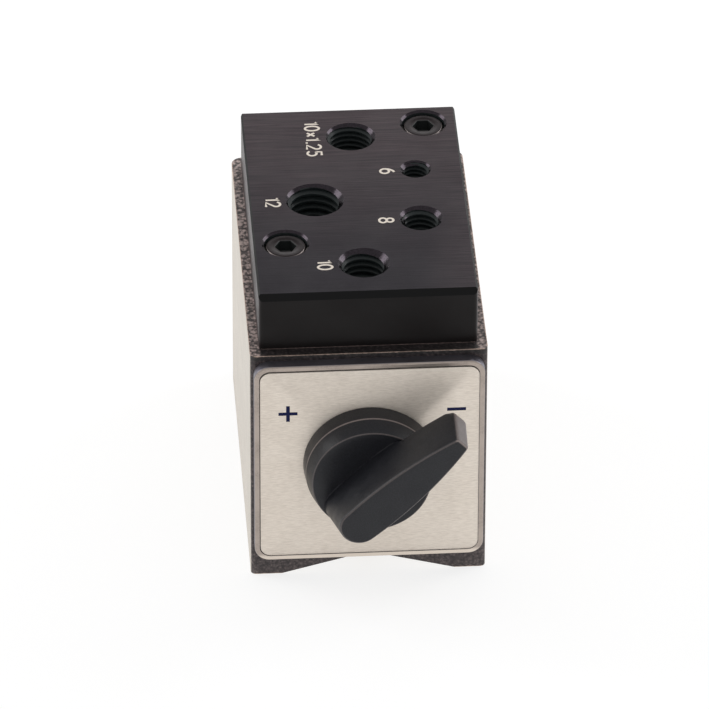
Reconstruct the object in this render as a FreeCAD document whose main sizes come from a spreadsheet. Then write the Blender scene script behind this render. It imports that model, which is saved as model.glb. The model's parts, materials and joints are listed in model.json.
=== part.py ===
import FreeCAD, Part
import os
import re
import Sketcher

# Switchable magnetic base with a five-hole top plate.
#
# Two steel pole blocks are joined by non-magnetic strips and share one bore. A ferrite magnet between
# two pole shoes turns in that bore. A lever knob on the front turns it a quarter turn, from off to on.
#
# Every piece is drawn in the frame of the pole blocks: X across, Y back from their front face and
# Z up from the surface they stand on. Round pieces are drawn about the rotor's axis. Each piece is
# then placed so that the origin is the bottom centre of the whole object.

# Name, value in millimetres or degrees, and what it measures.
SIZES = (
    ("body_width", 50.0, "across both pole blocks"),
    ("body_depth", 75.0, "pole blocks, front to back"),
    ("body_height", 56.5, "pole blocks, from the feet up"),
    ("front_corner", 1.2, "rounding of the pole blocks' front upright edges"),
    ("back_corner", 2.4, "rounding of the pole blocks' back upright edges"),
    ("foot_width", 6.6, "flat sole outside the groove, each side"),
    ("groove_angle", 15.0, "slope of each side of the groove underneath"),
    ("strip_width", 3.2, "gap between the pole blocks, filled by the strips"),
    ("strip_relief", 0.6, "how far the lower strip stays above the groove"),
    ("axis_height", 30.2, "rotor axis above the feet"),
    ("bore_radius", 18.0, "bore of the pole blocks"),
    ("rotor_gap", 0.3, "radial air gap between rotor and bore"),
    ("plate_width", 46.0, "top plate, across"),
    ("plate_length", 70.0, "top plate, front to back"),
    ("plate_thickness", 13.3, "top plate"),
    ("plate_chamfer", 1.2, "bevel along the top plate's front edge"),
    ("plate_corner", 1.0, "rounding of the top plate's upright edges"),
    ("plate_edge", 0.4, "small bevel along the top plate's other top edges"),
    ("twelve_across", -9.1, "12 mm threaded hole, from the middle"),
    ("twelve_along", 38.1, "12 mm threaded hole, from the front face"),
    ("twelve_bore", 5.1, "12 mm threaded hole, radius of the bore"),
    ("twelve_mouth", 6.2, "12 mm threaded hole, radius of the countersink"),
    ("ten_across", -0.2, "10 mm threaded hole, from the middle"),
    ("ten_along", 14.0, "10 mm threaded hole, from the front face"),
    ("ten_bore", 4.25, "10 mm threaded hole, radius of the bore"),
    ("ten_mouth", 5.5, "10 mm threaded hole, radius of the countersink"),
    ("fine_across", 0.0, "10 mm fine threaded hole, from the middle"),
    ("fine_along", 61.8, "10 mm fine threaded hole, from the front face"),
    ("fine_bore", 4.4, "10 mm fine threaded hole, radius of the bore"),
    ("fine_mouth", 5.35, "10 mm fine threaded hole, radius of the countersink"),
    ("eight_across", 12.9, "8 mm threaded hole, from the middle"),
    ("eight_along", 30.0, "8 mm threaded hole, from the front face"),
    ("eight_bore", 3.4, "8 mm threaded hole, radius of the bore"),
    ("eight_mouth", 4.65, "8 mm threaded hole, radius of the countersink"),
    ("six_across", 13.0, "6 mm threaded hole, from the middle"),
    ("six_along", 48.6, "6 mm threaded hole, from the front face"),
    ("six_bore", 2.5, "6 mm threaded hole, radius of the bore"),
    ("six_mouth", 3.35, "6 mm threaded hole, radius of the countersink"),
    ("cap_front_across", -16.2, "front cap screw, from the middle"),
    ("cap_front_along", 22.2, "front cap screw, from the front face"),
    ("cap_rear_across", 15.9, "rear cap screw, from the middle"),
    ("cap_rear_along", 66.2, "rear cap screw, from the front face"),
    ("cap_recess", 5.05, "radius of the cap screws' counterbore"),
    ("cap_sunk", 1.1, "cap screw head below the plate's top"),
    ("cap_head_radius", 4.25, "cap screw head"),
    ("cap_head_height", 5.0, "cap screw head"),
    ("cap_head_edge", 0.5, "bevel round the cap screw head"),
    ("cap_hex", 4.0, "cap screw socket, across the flats"),
    ("cap_hex_depth", 2.6, "cap screw socket"),
    ("cap_shank_radius", 2.5, "cap screw shank"),
    ("cap_shank_length", 16.0, "cap screw shank"),
    ("shank_gap", 0.25, "clearance round a shank in a drilled hole"),
    ("tap_depth_over", 1.5, "threaded hole beyond a screw's end"),
    ("cover_width", 48.6, "end covers, across"),
    ("cover_height", 49.9, "end covers, upright"),
    ("cover_thickness", 2.4, "end covers"),
    ("cover_corner", 3.3, "end covers' corner radius"),
    ("cover_edge", 0.4, "rounding round the covers' outer face"),
    ("spigot_depth", 4.0, "boss of each cover inside the bore"),
    ("fixed_gap", 0.05, "clearance of pieces that are fixed in each other"),
    ("rim_width", 1.1, "raised rim of the front cover round the label"),
    ("label_recess", 0.6, "recess of the front cover"),
    ("label_thickness", 0.3, "label sheet"),
    ("label_corner", 2.3, "corner radius of the recess and the label"),
    ("label_opening", 7.5, "radius of the label's hole"),
    ("cover_screw_side", 4.3, "cover screws, from the covers' sides"),
    ("cover_screw_end", 4.45, "cover screws, from the covers' top and bottom"),
    ("cover_screw_radius", 1.5, "cover screw shank"),
    ("cover_screw_length", 6.0, "cover screw, with its head"),
    ("cover_screw_head", 2.8, "radius of the cover screw's flat head"),
    ("cover_screw_hex", 2.0, "cover screw socket, across the flats"),
    ("cover_screw_socket", 1.1, "depth of the cover screw's socket"),
    ("bush_wall", 2.0, "bearing bush"),
    ("bush_flange", 1.0, "thickness of the bush's flange"),
    ("bush_flange_width", 2.5, "bush flange beyond the bush"),
    ("running_gap", 0.05, "radial clearance of the spindle in its bushes"),
    ("end_float", 0.2, "rotor's play between the bushes, each end"),
    ("spindle_radius", 5.0, "spindle and rear journal, in the bushes"),
    ("spindle_neck", 3.0, "radius of the spindle inside the knob"),
    ("spindle_flange", 8.0, "radius of the spindle's flange"),
    ("spindle_flange_depth", 1.5, "thickness of the spindle's flange"),
    ("spindle_flat", 1.0, "flat of the spindle under the grub screw"),
    ("spindle_end_edge", 0.6, "bevel of the spindle's end"),
    ("rotor_cap_thickness", 4.0, "each end cap of the rotor"),
    ("rotor_cap_inset", 0.5, "end caps' radius below the pole shoes'"),
    ("magnet_thickness", 14.0, "magnet, from shoe to shoe"),
    ("magnet_width", 31.6, "magnet, across"),
    ("rivet_across", 11.0, "rotor rivets, centre to centre across"),
    ("rivet_upright", 25.0, "rotor rivets, centre to centre upright"),
    ("rivet_radius", 1.5, "rotor rivets"),
    ("rivet_head", 2.6, "radius of the rivets' sunk heads"),
    ("rivet_head_depth", 1.1, "depth of the rivets' sunk heads"),
    ("turn_angle", 90.0, "how far the knob turns"),
    ("stop_radius", 13.2, "stop pin from the rotor axis"),
    ("stop_pin_radius", 1.5, "stop pin"),
    ("stop_pin_reach", 2.4, "stop pin into its groove"),
    ("stop_pin_seat", 3.0, "stop pin inside the rotor's front cap"),
    ("stop_groove_depth", 2.7, "stop groove in the front cover's boss"),
    ("stop_gap", 0.3, "clearance round the stop pin in its groove"),
    ("lever_rest_angle", 44.0, "lever above the horizontal when switched off"),
    ("knob_radius", 14.0, "knob disc at the label"),
    ("knob_rim_height", 3.7, "knob disc up to its cone"),
    ("knob_draft", 0.35, "how much the disc narrows up to its cone"),
    ("knob_cone_height", 3.0, "cone of the knob disc"),
    ("knob_face_radius", 12.1, "flat face of the knob disc"),
    ("knob_dish", 0.4, "hollow of the disc's face in the middle"),
    ("knob_edge", 0.3, "rounding of the disc's edges"),
    ("knob_height", 19.5, "knob, from its underside to the lever's face"),
    ("knob_bore_depth", 11.6, "blind bore of the knob"),
    ("lever_reach", 25.1, "lever's tip from the axis"),
    ("lever_tip_width", 2.8, "lever, across its tip"),
    ("lever_belly", 4.2, "lever, half its greatest width"),
    ("lever_belly_share", 0.18, "place of the greatest width, as a share of the lever's reach"),
    ("lever_tail_reach", 8.35, "end of the lever's tail, at the lever's face"),
    ("lever_tail_foot", 12.6, "end of the lever's tail, at the disc"),
    ("lever_under", 2.0, "lever's underside above the disc's face"),
    ("lever_tip_edge", 1.2, "rounding under the lever's tip"),
    ("lever_face_edge", 0.35, "rounding round the lever's face"),
    ("grub_radius", 1.5, "grub screw"),
    ("grub_length", 5.0, "grub screw"),
    ("grub_place", 2.0, "grub screw above the knob's underside"),
    ("grub_hex", 1.5, "grub screw socket, across the flats"),
)

# Distances along Y that several pieces share, from the pole blocks' front face.
MIDDLE = "((body_depth - knob_height) / 2)"
ROTOR_START = "(spigot_depth + bush_flange + end_float)"
MAGNET_START = "(spigot_depth + bush_flange + end_float + rotor_cap_thickness)"
SHOE_RADIUS = "(bore_radius - rotor_gap)"
BUSH_RADIUS = "(spindle_radius + running_gap + bush_wall)"
DISC_FACE = "(cover_thickness + knob_rim_height + knob_cone_height)"
LEVER_FACE = "(cover_thickness + knob_height)"
BELLY_PLACE = "(lever_belly_share * lever_reach)"
SCREW_ACROSS = "(cover_width / 2 - cover_screw_side)"
SCREW_UP = "(cover_height / 2 - cover_screw_end)"
SCREW_SEAT = "(plate_thickness - cap_sunk - cap_head_height)"

doc = FreeCAD.newDocument("magnetic_base")
sheet = doc.addObject("Spreadsheet::Sheet", "Sizes")


def fill_sheet():
    """Write each size into the sheet: its name, its value under an alias, and what it measures."""
    for row, (alias, number, meaning) in enumerate(SIZES, start=1):
        sheet.set(f"A{row}", alias)
        sheet.set(f"B{row}", str(number))
        sheet.setAlias(f"B{row}", alias)
        sheet.set(f"C{row}", meaning)
    doc.recompute()


def bound(expression):
    """Return an expression over size names in the form that any object of the document reads."""
    return re.sub(r"\b([a-z]+_[a-z_]+)\b", r"Sizes.\1", expression)


def number(expression):
    """Return what an expression over size names is worth now."""
    return float(sheet.evalExpression(expression))


def bind(thing, **properties):
    """Bind properties of an object to expressions over the sizes."""
    for name, expression in properties.items():
        thing.setExpression(name, bound(expression))


def place(thing, along="0", height="0", angle="0", turn=(0, -1, 0), across="0"):
    """Put a piece at its place, given in the pole blocks' frame and moved to the object's origin."""
    thing.Placement = FreeCAD.Placement(
        FreeCAD.Vector(number(across), number(f"{along} - {MIDDLE}"), number(height)),
        FreeCAD.Rotation(FreeCAD.Vector(*turn), number(angle)),
    )
    thing.setExpression("Placement.Base.x", bound(across))
    thing.setExpression("Placement.Base.y", bound(f"{along} - {MIDDLE}"))
    thing.setExpression("Placement.Base.z", bound(height))
    if angle != "0":
        thing.setExpression("Placement.Rotation.Angle", bound(angle))


def new_body(label):
    """Start the body of one piece; its label names the piece's file."""
    body = doc.addObject("PartDesign::Body", label)
    body.Label = label
    return body


def new_sketch(body, name, plane, offset="0"):
    """Add a sketch on one of the body's own planes, moved along the plane's normal."""
    sketch = body.newObject("Sketcher::SketchObject", name)
    support = next(part for part in body.Origin.OriginFeatures if part.Role == plane)
    sketch.AttachmentSupport = [(support, "")]
    sketch.MapMode = "FlatFace"
    sketch.AttachmentOffset = FreeCAD.Placement(FreeCAD.Vector(0, 0, number(offset)), FreeCAD.Rotation())
    if offset != "0":
        sketch.setExpression("AttachmentOffset.Base.z", bound(offset))
    return sketch


def fix_point(sketch, curve, end, across, up):
    """Hold one point of a sketch at a place given by two expressions."""
    for kind, expression in (("DistanceX", across), ("DistanceY", up)):
        index = sketch.addConstraint(Sketcher.Constraint(kind, -1, 1, curve, end, number(expression)))
        sketch.setExpression(f"Constraints[{index}]", bound(expression))


def draw_outline(sketch, corners):
    """Draw a closed outline through corners given as pairs of expressions."""
    points = [FreeCAD.Vector(number(across), number(up), 0) for across, up in corners]
    count = len(points)
    for index in range(count):
        sketch.addGeometry(Part.LineSegment(points[index], points[(index + 1) % count]), False)
    for index in range(count):
        sketch.addConstraint(Sketcher.Constraint("Coincident", index, 2, (index + 1) % count, 1))
    for index, (across, up) in enumerate(corners):
        fix_point(sketch, index, 1, across, up)


def draw_rectangle(sketch, width, height, across="0", up="0"):
    """Draw a rectangle about a centre."""
    left, right = f"{across} - {width} / 2", f"{across} + {width} / 2"
    low, high = f"{up} - {height} / 2", f"{up} + {height} / 2"
    draw_outline(sketch, ((left, low), (right, low), (right, high), (left, high)))


def draw_path(sketch, corners):
    """Draw a closed path, turning left all the way, of straight lines and arcs.

    Each corner is (across, up, centre, radius) in expressions. The curve from a corner to the next
    is an arc about the centre, or a straight line where centre and radius are None.
    """
    points = [FreeCAD.Vector(number(across), number(up), 0) for across, up, _, _ in corners]
    for index, (_, _, centre, radius) in enumerate(corners):
        start, end = points[index], points[(index + 1) % len(points)]
        if centre is None:
            sketch.addGeometry(Part.LineSegment(start, end), False)
            continue
        middle = FreeCAD.Vector(number(centre[0]), number(centre[1]), 0)
        circle = Part.Circle(middle, FreeCAD.Vector(0, 0, 1), number(radius))
        sketch.addGeometry(Part.ArcOfCircle(circle, circle.parameter(start), circle.parameter(end)), False)
    for index, (across, up, _, radius) in enumerate(corners):
        sketch.addConstraint(Sketcher.Constraint("Coincident", index, 2, (index + 1) % len(corners), 1))
        fix_point(sketch, index, 1, across, up)
        if radius is not None:
            held = sketch.addConstraint(Sketcher.Constraint("Radius", index, number(radius)))
            sketch.setExpression(f"Constraints[{held}]", bound(radius))


def draw_rounded_rectangle(sketch, width, height, corner):
    """Draw a rectangle with round corners about the sketch's origin."""
    far, high = f"{width} / 2", f"{height} / 2"
    near, low = f"({far} - {corner})", f"({high} - {corner})"
    path = []
    for across, up in ((1, 1), (-1, 1), (-1, -1), (1, -1)):
        centre = (f"{across} * {near}", f"{up} * {low}")
        side = (f"{across} * {far}", f"{up} * {low}")
        end = (f"{across} * {near}", f"{up} * {high}")
        start, finish = (side, end) if across == up else (end, side)
        path.append((*start, centre, corner))
        path.append((*finish, None, None))
    draw_path(sketch, path)


def draw_circle(sketch, radius, across="0", up="0"):
    """Draw a circle, its centre and radius held by expressions."""
    centre = FreeCAD.Vector(number(across), number(up), 0)
    curve = sketch.addGeometry(Part.Circle(centre, FreeCAD.Vector(0, 0, 1), number(radius)), False)
    fix_point(sketch, curve, 3, across, up)
    index = sketch.addConstraint(Sketcher.Constraint("Radius", curve, number(radius)))
    sketch.setExpression(f"Constraints[{index}]", bound(radius))


def pad(body, sketch, length, backward=False):
    """Raise a sketch into a solid; backward goes against the sketch's normal."""
    feature = body.newObject("PartDesign::Pad", f"{sketch.Name}_pad")
    feature.Profile = sketch
    feature.Length = number(length)
    feature.Reversed = backward
    bind(feature, Length=length)
    doc.recompute()
    return feature


def cut_away(body, make_feature):
    """Add a cutting feature and make sure that it takes material away."""
    doc.recompute()
    before = body.Shape.Volume
    feature = make_feature()
    doc.recompute()
    if body.Shape.Volume > before - 1e-6:
        raise RuntimeError(f"{feature.Name} cuts nothing from {body.Label}")
    return feature


def pocket(body, sketch, depth=None, forward=False):
    """Cut a sketch into the body, to a depth or, without one, right through."""

    def make_feature():
        feature = body.newObject("PartDesign::Pocket", f"{sketch.Name}_pocket")
        feature.Profile = sketch
        feature.Reversed = forward
        if depth is None:
            feature.Type = "ThroughAll"
        else:
            feature.Length = number(depth)
            bind(feature, Length=depth)
        return feature

    return cut_away(body, make_feature)


def revolve(body, name, corners, across="0", up="0", axis="H_Axis"):
    """Turn an outline of (along Y, radius) corners about the sketch's own level or upright axis."""
    sketch = new_sketch(body, name, "YZ_Plane", across)
    if up != "0":
        sketch.AttachmentOffset.Base.y = number(up)
        sketch.setExpression("AttachmentOffset.Base.y", bound(up))
    draw_outline(sketch, corners)
    feature = body.newObject("PartDesign::Revolution", f"{name}_turned")
    feature.Profile = sketch
    feature.ReferenceAxis = (sketch, [axis])
    feature.Angle = 360
    doc.recompute()
    return feature


def drill(body, name, plane, offset, centres, radius, depth=None, cut=None, cut_radius=None, cut_depth=None):
    """Drill equal round holes, right through or to a depth, with a counterbore or a countersink."""
    sketch = new_sketch(body, name, plane, offset)
    for across, up in centres:
        draw_circle(sketch, radius, across, up)
    doc.recompute()

    def make_feature():
        feature = body.newObject("PartDesign::Hole", f"{name}_hole")
        feature.Profile = sketch
        feature.ThreadType = "None"
        feature.Diameter = 2 * number(radius)
        bind(feature, Diameter=f"2 * {radius}")
        feature.DrillPoint = "Flat"
        feature.DepthType = "ThroughAll" if depth is None else "Dimension"
        if depth is not None:
            feature.Depth = number(depth)
            bind(feature, Depth=depth)
        if cut is not None:
            feature.HoleCutType = cut
            feature.HoleCutCustomValues = True
            feature.HoleCutDiameter = 2 * number(cut_radius)
            bind(feature, HoleCutDiameter=f"2 * {cut_radius}")
        if cut == "Counterbore":
            feature.HoleCutDepth = number(cut_depth)
            bind(feature, HoleCutDepth=cut_depth)
        if cut == "Countersink":
            feature.HoleCutCountersinkAngle = 90
        return feature

    return cut_away(body, make_feature)


def edges_where(feature, test):
    """Name the edges of a feature whose middle point and direction pass a test."""
    names = []
    for index, edge in enumerate(feature.Shape.Edges, start=1):
        middle = edge.valueAt((edge.FirstParameter + edge.LastParameter) / 2)
        heading = edge.tangentAt((edge.FirstParameter + edge.LastParameter) / 2)
        if test(middle, heading):
            names.append(f"Edge{index}")
    return names


def is_near(first, second):
    """Tell whether two lengths are the same."""
    return abs(first - second) < 1e-4


def soften(body, feature, kind, size, test):
    """Fillet or chamfer the edges of a feature that pass a test."""
    names = edges_where(feature, test)
    if not names:
        raise RuntimeError(f"no edge of {body.Label} takes the {kind.lower()} of {size}")
    edge = body.newObject(f"PartDesign::{kind}", f"{feature.Name}_{kind.lower()}")
    edge.Base = (feature, names)
    if kind == "Fillet":
        edge.Radius = number(size)
        bind(edge, Radius=size)
    else:
        edge.Size = number(size)
        bind(edge, Size=size)
    doc.recompute()
    if edge.Shape.isNull() or not edge.Shape.isValid():
        raise RuntimeError(f"{edge.Name} fails")
    return edge


def mirror_copies(body, features):
    """Repeat features left and right of the piece's middle, and above and below it."""
    copies = body.newObject("PartDesign::MultiTransform", f"{features[0].Name}_copies")
    copies.Originals = features
    mirrors = []
    for plane in ("YZ_Plane", "XY_Plane"):
        mirror = body.newObject("PartDesign::Mirrored", f"{features[0].Name}_{plane[:2].lower()}")
        mirror.MirrorPlane = (next(part for part in body.Origin.OriginFeatures if part.Role == plane), [""])
        mirrors.append(mirror)
    copies.Transformations = mirrors
    body.Tip = copies
    doc.recompute()


def draw_hexagon(sketch, across_flats, across="0", up="0"):
    """Draw a regular hexagon for a screw's socket."""
    radius = f"{across_flats} / sqrt(3)"
    draw_outline(
        sketch,
        [(f"{across} + {radius} * cos({60 * side})", f"{up} + {radius} * sin({60 * side})") for side in range(6)],
    )


def draw_lever(sketch, tail_reach):
    """Draw the lever's outline: a narrow straight tip, two long arcs and a round tail.

    The long arcs pass through the tip's corners and are widest at the belly. The tail's arc touches
    both of them and reaches tail_reach from the axis.
    """
    slack = "(lever_belly - lever_tip_width / 2)"
    side = f"(((lever_reach - {BELLY_PLACE}) ^ 2 + {slack} ^ 2) / (2 * {slack}))"
    span = f"({tail_reach} + {BELLY_PLACE})"
    tail = f"((2 * lever_belly * {side} - lever_belly ^ 2 - {span} ^ 2) / (2 * ({side} - {span})))"
    tail_centre = f"({tail} - {tail_reach})"
    join_across = f"({BELLY_PLACE} + {side} * ({tail_centre} - {BELLY_PLACE}) / ({side} - {tail}))"
    join_up = f"(({side} - lever_belly) * {tail} / ({side} - {tail}))"
    tip_up = "(lever_tip_width / 2)"
    corners = (
        ("lever_reach", f"-1 * {tip_up}", None, None),
        ("lever_reach", tip_up, (BELLY_PLACE, f"lever_belly - {side}"), side),
        (join_across, join_up, (tail_centre, "0"), tail),
        (join_across, f"-1 * {join_up}", (BELLY_PLACE, f"{side} - lever_belly"), side),
    )
    draw_path(sketch, corners)


def make_pole_block(label, side, screw):
    """Make one pole block: half of the groove, half of the bore and its threaded holes."""
    body = new_body(label)
    profile = new_sketch(body, f"{label}_profile", "XZ_Plane")
    inner, outer = f"{side} * strip_width / 2", f"{side} * body_width / 2"
    foot = f"{side} * (body_width / 2 - foot_width)"
    groove = "(body_width / 2 - foot_width - strip_width / 2) * tan(groove_angle)"
    draw_outline(
        profile,
        ((outer, "0"), (foot, "0"), (inner, groove), (inner, "body_height"), (outer, "body_height")),
    )
    block = pad(body, profile, "body_depth", backward=True)

    def is_outer_upright(middle, heading):
        return is_near(abs(heading.z), 1) and is_near(abs(middle.x), number("body_width / 2"))

    block = soften(
        body, block, "Fillet", "front_corner",
        lambda middle, heading: is_outer_upright(middle, heading) and is_near(middle.y, 0),
    )
    soften(
        body, block, "Fillet", "back_corner",
        lambda middle, heading: is_outer_upright(middle, heading) and not is_near(middle.y, 0),
    )
    bore = new_sketch(body, f"{label}_bore", "XZ_Plane")
    draw_circle(bore, "bore_radius", "0", "axis_height")
    pocket(body, bore)
    top = new_sketch(body, f"{label}_top_hole", "XY_Plane", "body_height")
    draw_circle(top, "cap_shank_radius + fixed_gap", f"cap_{screw}_across", f"cap_{screw}_along")
    pocket(body, top, f"cap_shank_length - {SCREW_SEAT} + tap_depth_over")
    for end, offset, seat in (("front", "0", "label_recess"), ("rear", "-body_depth", "0")):
        holes = new_sketch(body, f"{label}_{end}_holes", "XZ_Plane", offset)
        for level in (f"axis_height - {SCREW_UP}", f"axis_height + {SCREW_UP}"):
            draw_circle(holes, "cover_screw_radius + fixed_gap", f"{side} * {SCREW_ACROSS}", level)
        depth = f"cover_screw_length - cover_thickness + {seat} + tap_depth_over"
        pocket(body, holes, depth, forward=end == "rear")
    place(body)
    return body


def make_strip(label, low, high):
    """Make one non-magnetic strip between the pole blocks, from one height to another."""
    slab = doc.addObject("Part::Box", f"{label}_slab")
    bind(slab, Length="strip_width", Width="body_depth", Height=f"{high} - ({low})")
    place(slab, across="-strip_width / 2", height=low)
    bore = doc.addObject("Part::Cylinder", f"{label}_bore")
    bind(bore, Radius="bore_radius", Height="body_depth")
    bore.Placement.Rotation = FreeCAD.Rotation(FreeCAD.Vector(1, 0, 0), -90)
    bore.setExpression("Placement.Base.y", bound(f"-{MIDDLE}"))
    bore.setExpression("Placement.Base.z", bound("axis_height"))
    strip = doc.addObject("Part::Cut", label)
    strip.Label = label
    strip.Base = slab
    strip.Tool = bore
    return strip


def make_top_plate():
    """Make the top plate: five threaded holes and two counterbored ones, a bevel along its front."""
    body = new_body("top_plate")
    outline = new_sketch(body, "plate_outline", "XY_Plane")
    draw_rectangle(outline, "plate_width", "plate_length", "0", "body_depth / 2")
    plate = pad(body, outline, "plate_thickness")
    front = number("(body_depth - plate_length) / 2")
    top = number("plate_thickness")
    plate = soften(
        body, plate, "Chamfer", "plate_chamfer",
        lambda middle, heading: is_near(middle.y, front) and is_near(middle.z, top),
    )
    plate = soften(
        body, plate, "Chamfer", "plate_edge",
        lambda middle, heading: is_near(middle.z, top) and middle.y > front + 2 * number("plate_chamfer"),
    )
    soften(body, plate, "Fillet", "plate_corner", lambda middle, heading: is_near(abs(heading.z), 1))
    for name in ("twelve", "ten", "fine", "eight", "six"):
        centre = (f"{name}_across", f"{name}_along")
        drill(
            body, f"{name}_thread", "XY_Plane", "plate_thickness", [centre], f"{name}_bore",
            cut="Countersink", cut_radius=f"{name}_mouth",
        )
    for name in ("front", "rear"):
        drill(
            body, f"{name}_cap", "XY_Plane", "plate_thickness",
            [(f"cap_{name}_across", f"cap_{name}_along")], "(cap_shank_radius + shank_gap)",
            cut="Counterbore", cut_radius="cap_recess", cut_depth="cap_sunk + cap_head_height",
        )
    place(body, height="body_height")
    return body


def make_cap_screw(label, end):
    """Make one socket cap screw of the top plate."""
    body = new_body(label)
    revolve(
        body, f"{label}_shape",
        (
            ("0", "-cap_shank_length"),
            ("cap_shank_radius - cap_head_edge", "-cap_shank_length"),
            ("cap_shank_radius", "cap_head_edge - cap_shank_length"),
            ("cap_shank_radius", "0"),
            ("cap_head_radius", "0"),
            ("cap_head_radius", "cap_head_height - cap_head_edge"),
            ("cap_head_radius - cap_head_edge", "cap_head_height"),
            ("0", "cap_head_height"),
        ),
        axis="V_Axis",
    )
    socket = new_sketch(body, f"{label}_socket", "XY_Plane", "cap_head_height")
    draw_hexagon(socket, "cap_hex")
    pocket(body, socket, "cap_hex_depth")
    place(body, f"cap_{end}_along", f"body_height + {SCREW_SEAT}", across=f"cap_{end}_across")
    return body


def cover_screw_centres():
    """List the four cover screws' centres about the rotor axis."""
    return [
        (f"{side} * {SCREW_ACROSS}", f"{level} * {SCREW_UP}")
        for side in ("-1", "1")
        for level in ("-1", "1")
    ]


def start_cover(label):
    """Start an end cover: a rounded plate outside and a round boss inside the bore."""
    body = new_body(label)
    outline = new_sketch(body, f"{label}_outline", "XZ_Plane")
    draw_rounded_rectangle(outline, "cover_width", "cover_height", "cover_corner")
    plate = pad(body, outline, "cover_thickness")
    face = -number("cover_thickness")
    soften(body, plate, "Fillet", "cover_edge", lambda middle, heading: is_near(middle.y, face))
    boss = new_sketch(body, f"{label}_boss", "XZ_Plane")
    draw_circle(boss, "bore_radius - fixed_gap")
    pad(body, boss, "spigot_depth", backward=True)
    return body


def make_front_cover():
    """Make the front cover: recess for the label, bush bore, screw holes and the stop's groove."""
    body = start_cover("front_cover")
    recess = new_sketch(body, "label_recess", "XZ_Plane", "cover_thickness")
    draw_rounded_rectangle(
        recess, "(cover_width - 2 * rim_width)", "(cover_height - 2 * rim_width)", "label_corner",
    )
    pocket(body, recess, "label_recess")
    bore = new_sketch(body, "bush_bore", "XZ_Plane", "cover_thickness")
    draw_circle(bore, f"{BUSH_RADIUS} + fixed_gap")
    pocket(body, bore)
    drill(
        body, "front_cover_drilling", "XZ_Plane", "cover_thickness - label_recess", cover_screw_centres(),
        "(cover_screw_radius + shank_gap)", cut="Countersink", cut_radius="cover_screw_head",
    )
    cut_stop_groove(body)
    place(body, height="axis_height")
    return body


def cut_stop_groove(body):
    """Cut the arc in which the stop pin travels, round at both ends."""
    half_width = "(stop_pin_radius + stop_gap)"
    floor, mouth = "spigot_depth - stop_groove_depth", "spigot_depth"
    near, far = f"{half_width} - stop_radius", f"-1 * ({half_width} + stop_radius)"
    profile = new_sketch(body, "stop_groove", "YZ_Plane")
    draw_outline(profile, ((floor, near), (mouth, near), (mouth, far), (floor, far)))

    def make_feature():
        groove = body.newObject("PartDesign::Groove", "stop_groove_turned")
        groove.Profile = profile
        groove.ReferenceAxis = (profile, ["H_Axis"])
        groove.Midplane = True
        groove.Angle = number("turn_angle")
        bind(groove, Angle="turn_angle")
        return groove

    cut_away(body, make_feature)
    ends = new_sketch(body, "stop_groove_ends", "XZ_Plane", "-spigot_depth")
    for side in ("-1", "1"):
        across = f"{side} * stop_radius * sin(turn_angle / 2)"
        draw_circle(ends, half_width, across, "-stop_radius * cos(turn_angle / 2)")
    pocket(body, ends, "stop_groove_depth", forward=True)


def make_rear_cover():
    """Make the rear cover: closed outside, with a blind bush bore inside and four screw holes."""
    body = start_cover("rear_cover")
    bore = new_sketch(body, "rear_bush_bore", "XZ_Plane", "-spigot_depth")
    draw_circle(bore, f"{BUSH_RADIUS} + fixed_gap")
    pocket(body, bore, "spigot_depth", forward=True)
    drill(
        body, "rear_cover_drilling", "XZ_Plane", "cover_thickness", cover_screw_centres(),
        "(cover_screw_radius + shank_gap)", cut="Countersink", cut_radius="cover_screw_head",
    )
    place(body, "body_depth", "axis_height", "180", (0, 0, 1))
    return body


def make_cover_screws(label, seat, along, angle):
    """Make the four countersunk screws of one cover."""
    body = new_body(label)
    head = "(cover_screw_head - fixed_gap)"
    shape = revolve(
        body, f"{label}_shape",
        (
            (f"-1 * {seat}", "0"),
            (f"-1 * {seat}", head),
            (f"{head} - cover_screw_radius - {seat}", "cover_screw_radius"),
            (f"cover_screw_length - {seat}", "cover_screw_radius"),
            (f"cover_screw_length - {seat}", "0"),
        ),
        SCREW_ACROSS, SCREW_UP,
    )
    socket = new_sketch(body, f"{label}_socket", "XZ_Plane", seat)
    draw_hexagon(socket, "cover_screw_hex", SCREW_ACROSS, SCREW_UP)
    cut = pocket(body, socket, "cover_screw_socket")
    mirror_copies(body, [shape, cut])
    place(body, along, "axis_height", angle, (0, 0, 1))
    return body


def make_label_plate():
    """Make the thin label sheet that lies in the front cover's recess."""
    body = new_body("label_plate")
    outline = new_sketch(body, "label_outline", "XZ_Plane", "cover_thickness - label_recess")
    draw_rounded_rectangle(
        outline,
        "(cover_width - 2 * rim_width - 2 * fixed_gap)", "(cover_height - 2 * rim_width - 2 * fixed_gap)",
        "(label_corner - fixed_gap)",
    )
    pad(body, outline, "label_thickness")
    hole = new_sketch(body, "label_hole", "XZ_Plane", "cover_thickness")
    draw_circle(hole, "label_opening")
    pocket(body, hole)
    place(body, height="axis_height")
    return body


def make_bush(label, start, along, angle):
    """Make one flanged bearing bush; it begins at start and its flange faces the rotor."""
    body = new_body(label)
    flange = f"({BUSH_RADIUS} + bush_flange_width)"
    revolve(
        body, f"{label}_shape",
        (
            (start, "spindle_radius + running_gap"),
            (start, BUSH_RADIUS),
            ("spigot_depth", BUSH_RADIUS),
            ("spigot_depth", flange),
            ("spigot_depth + bush_flange", flange),
            ("spigot_depth + bush_flange", "spindle_radius + running_gap"),
        ),
    )
    place(body, along, "axis_height", angle, (0, 0, 1))
    return body


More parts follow.
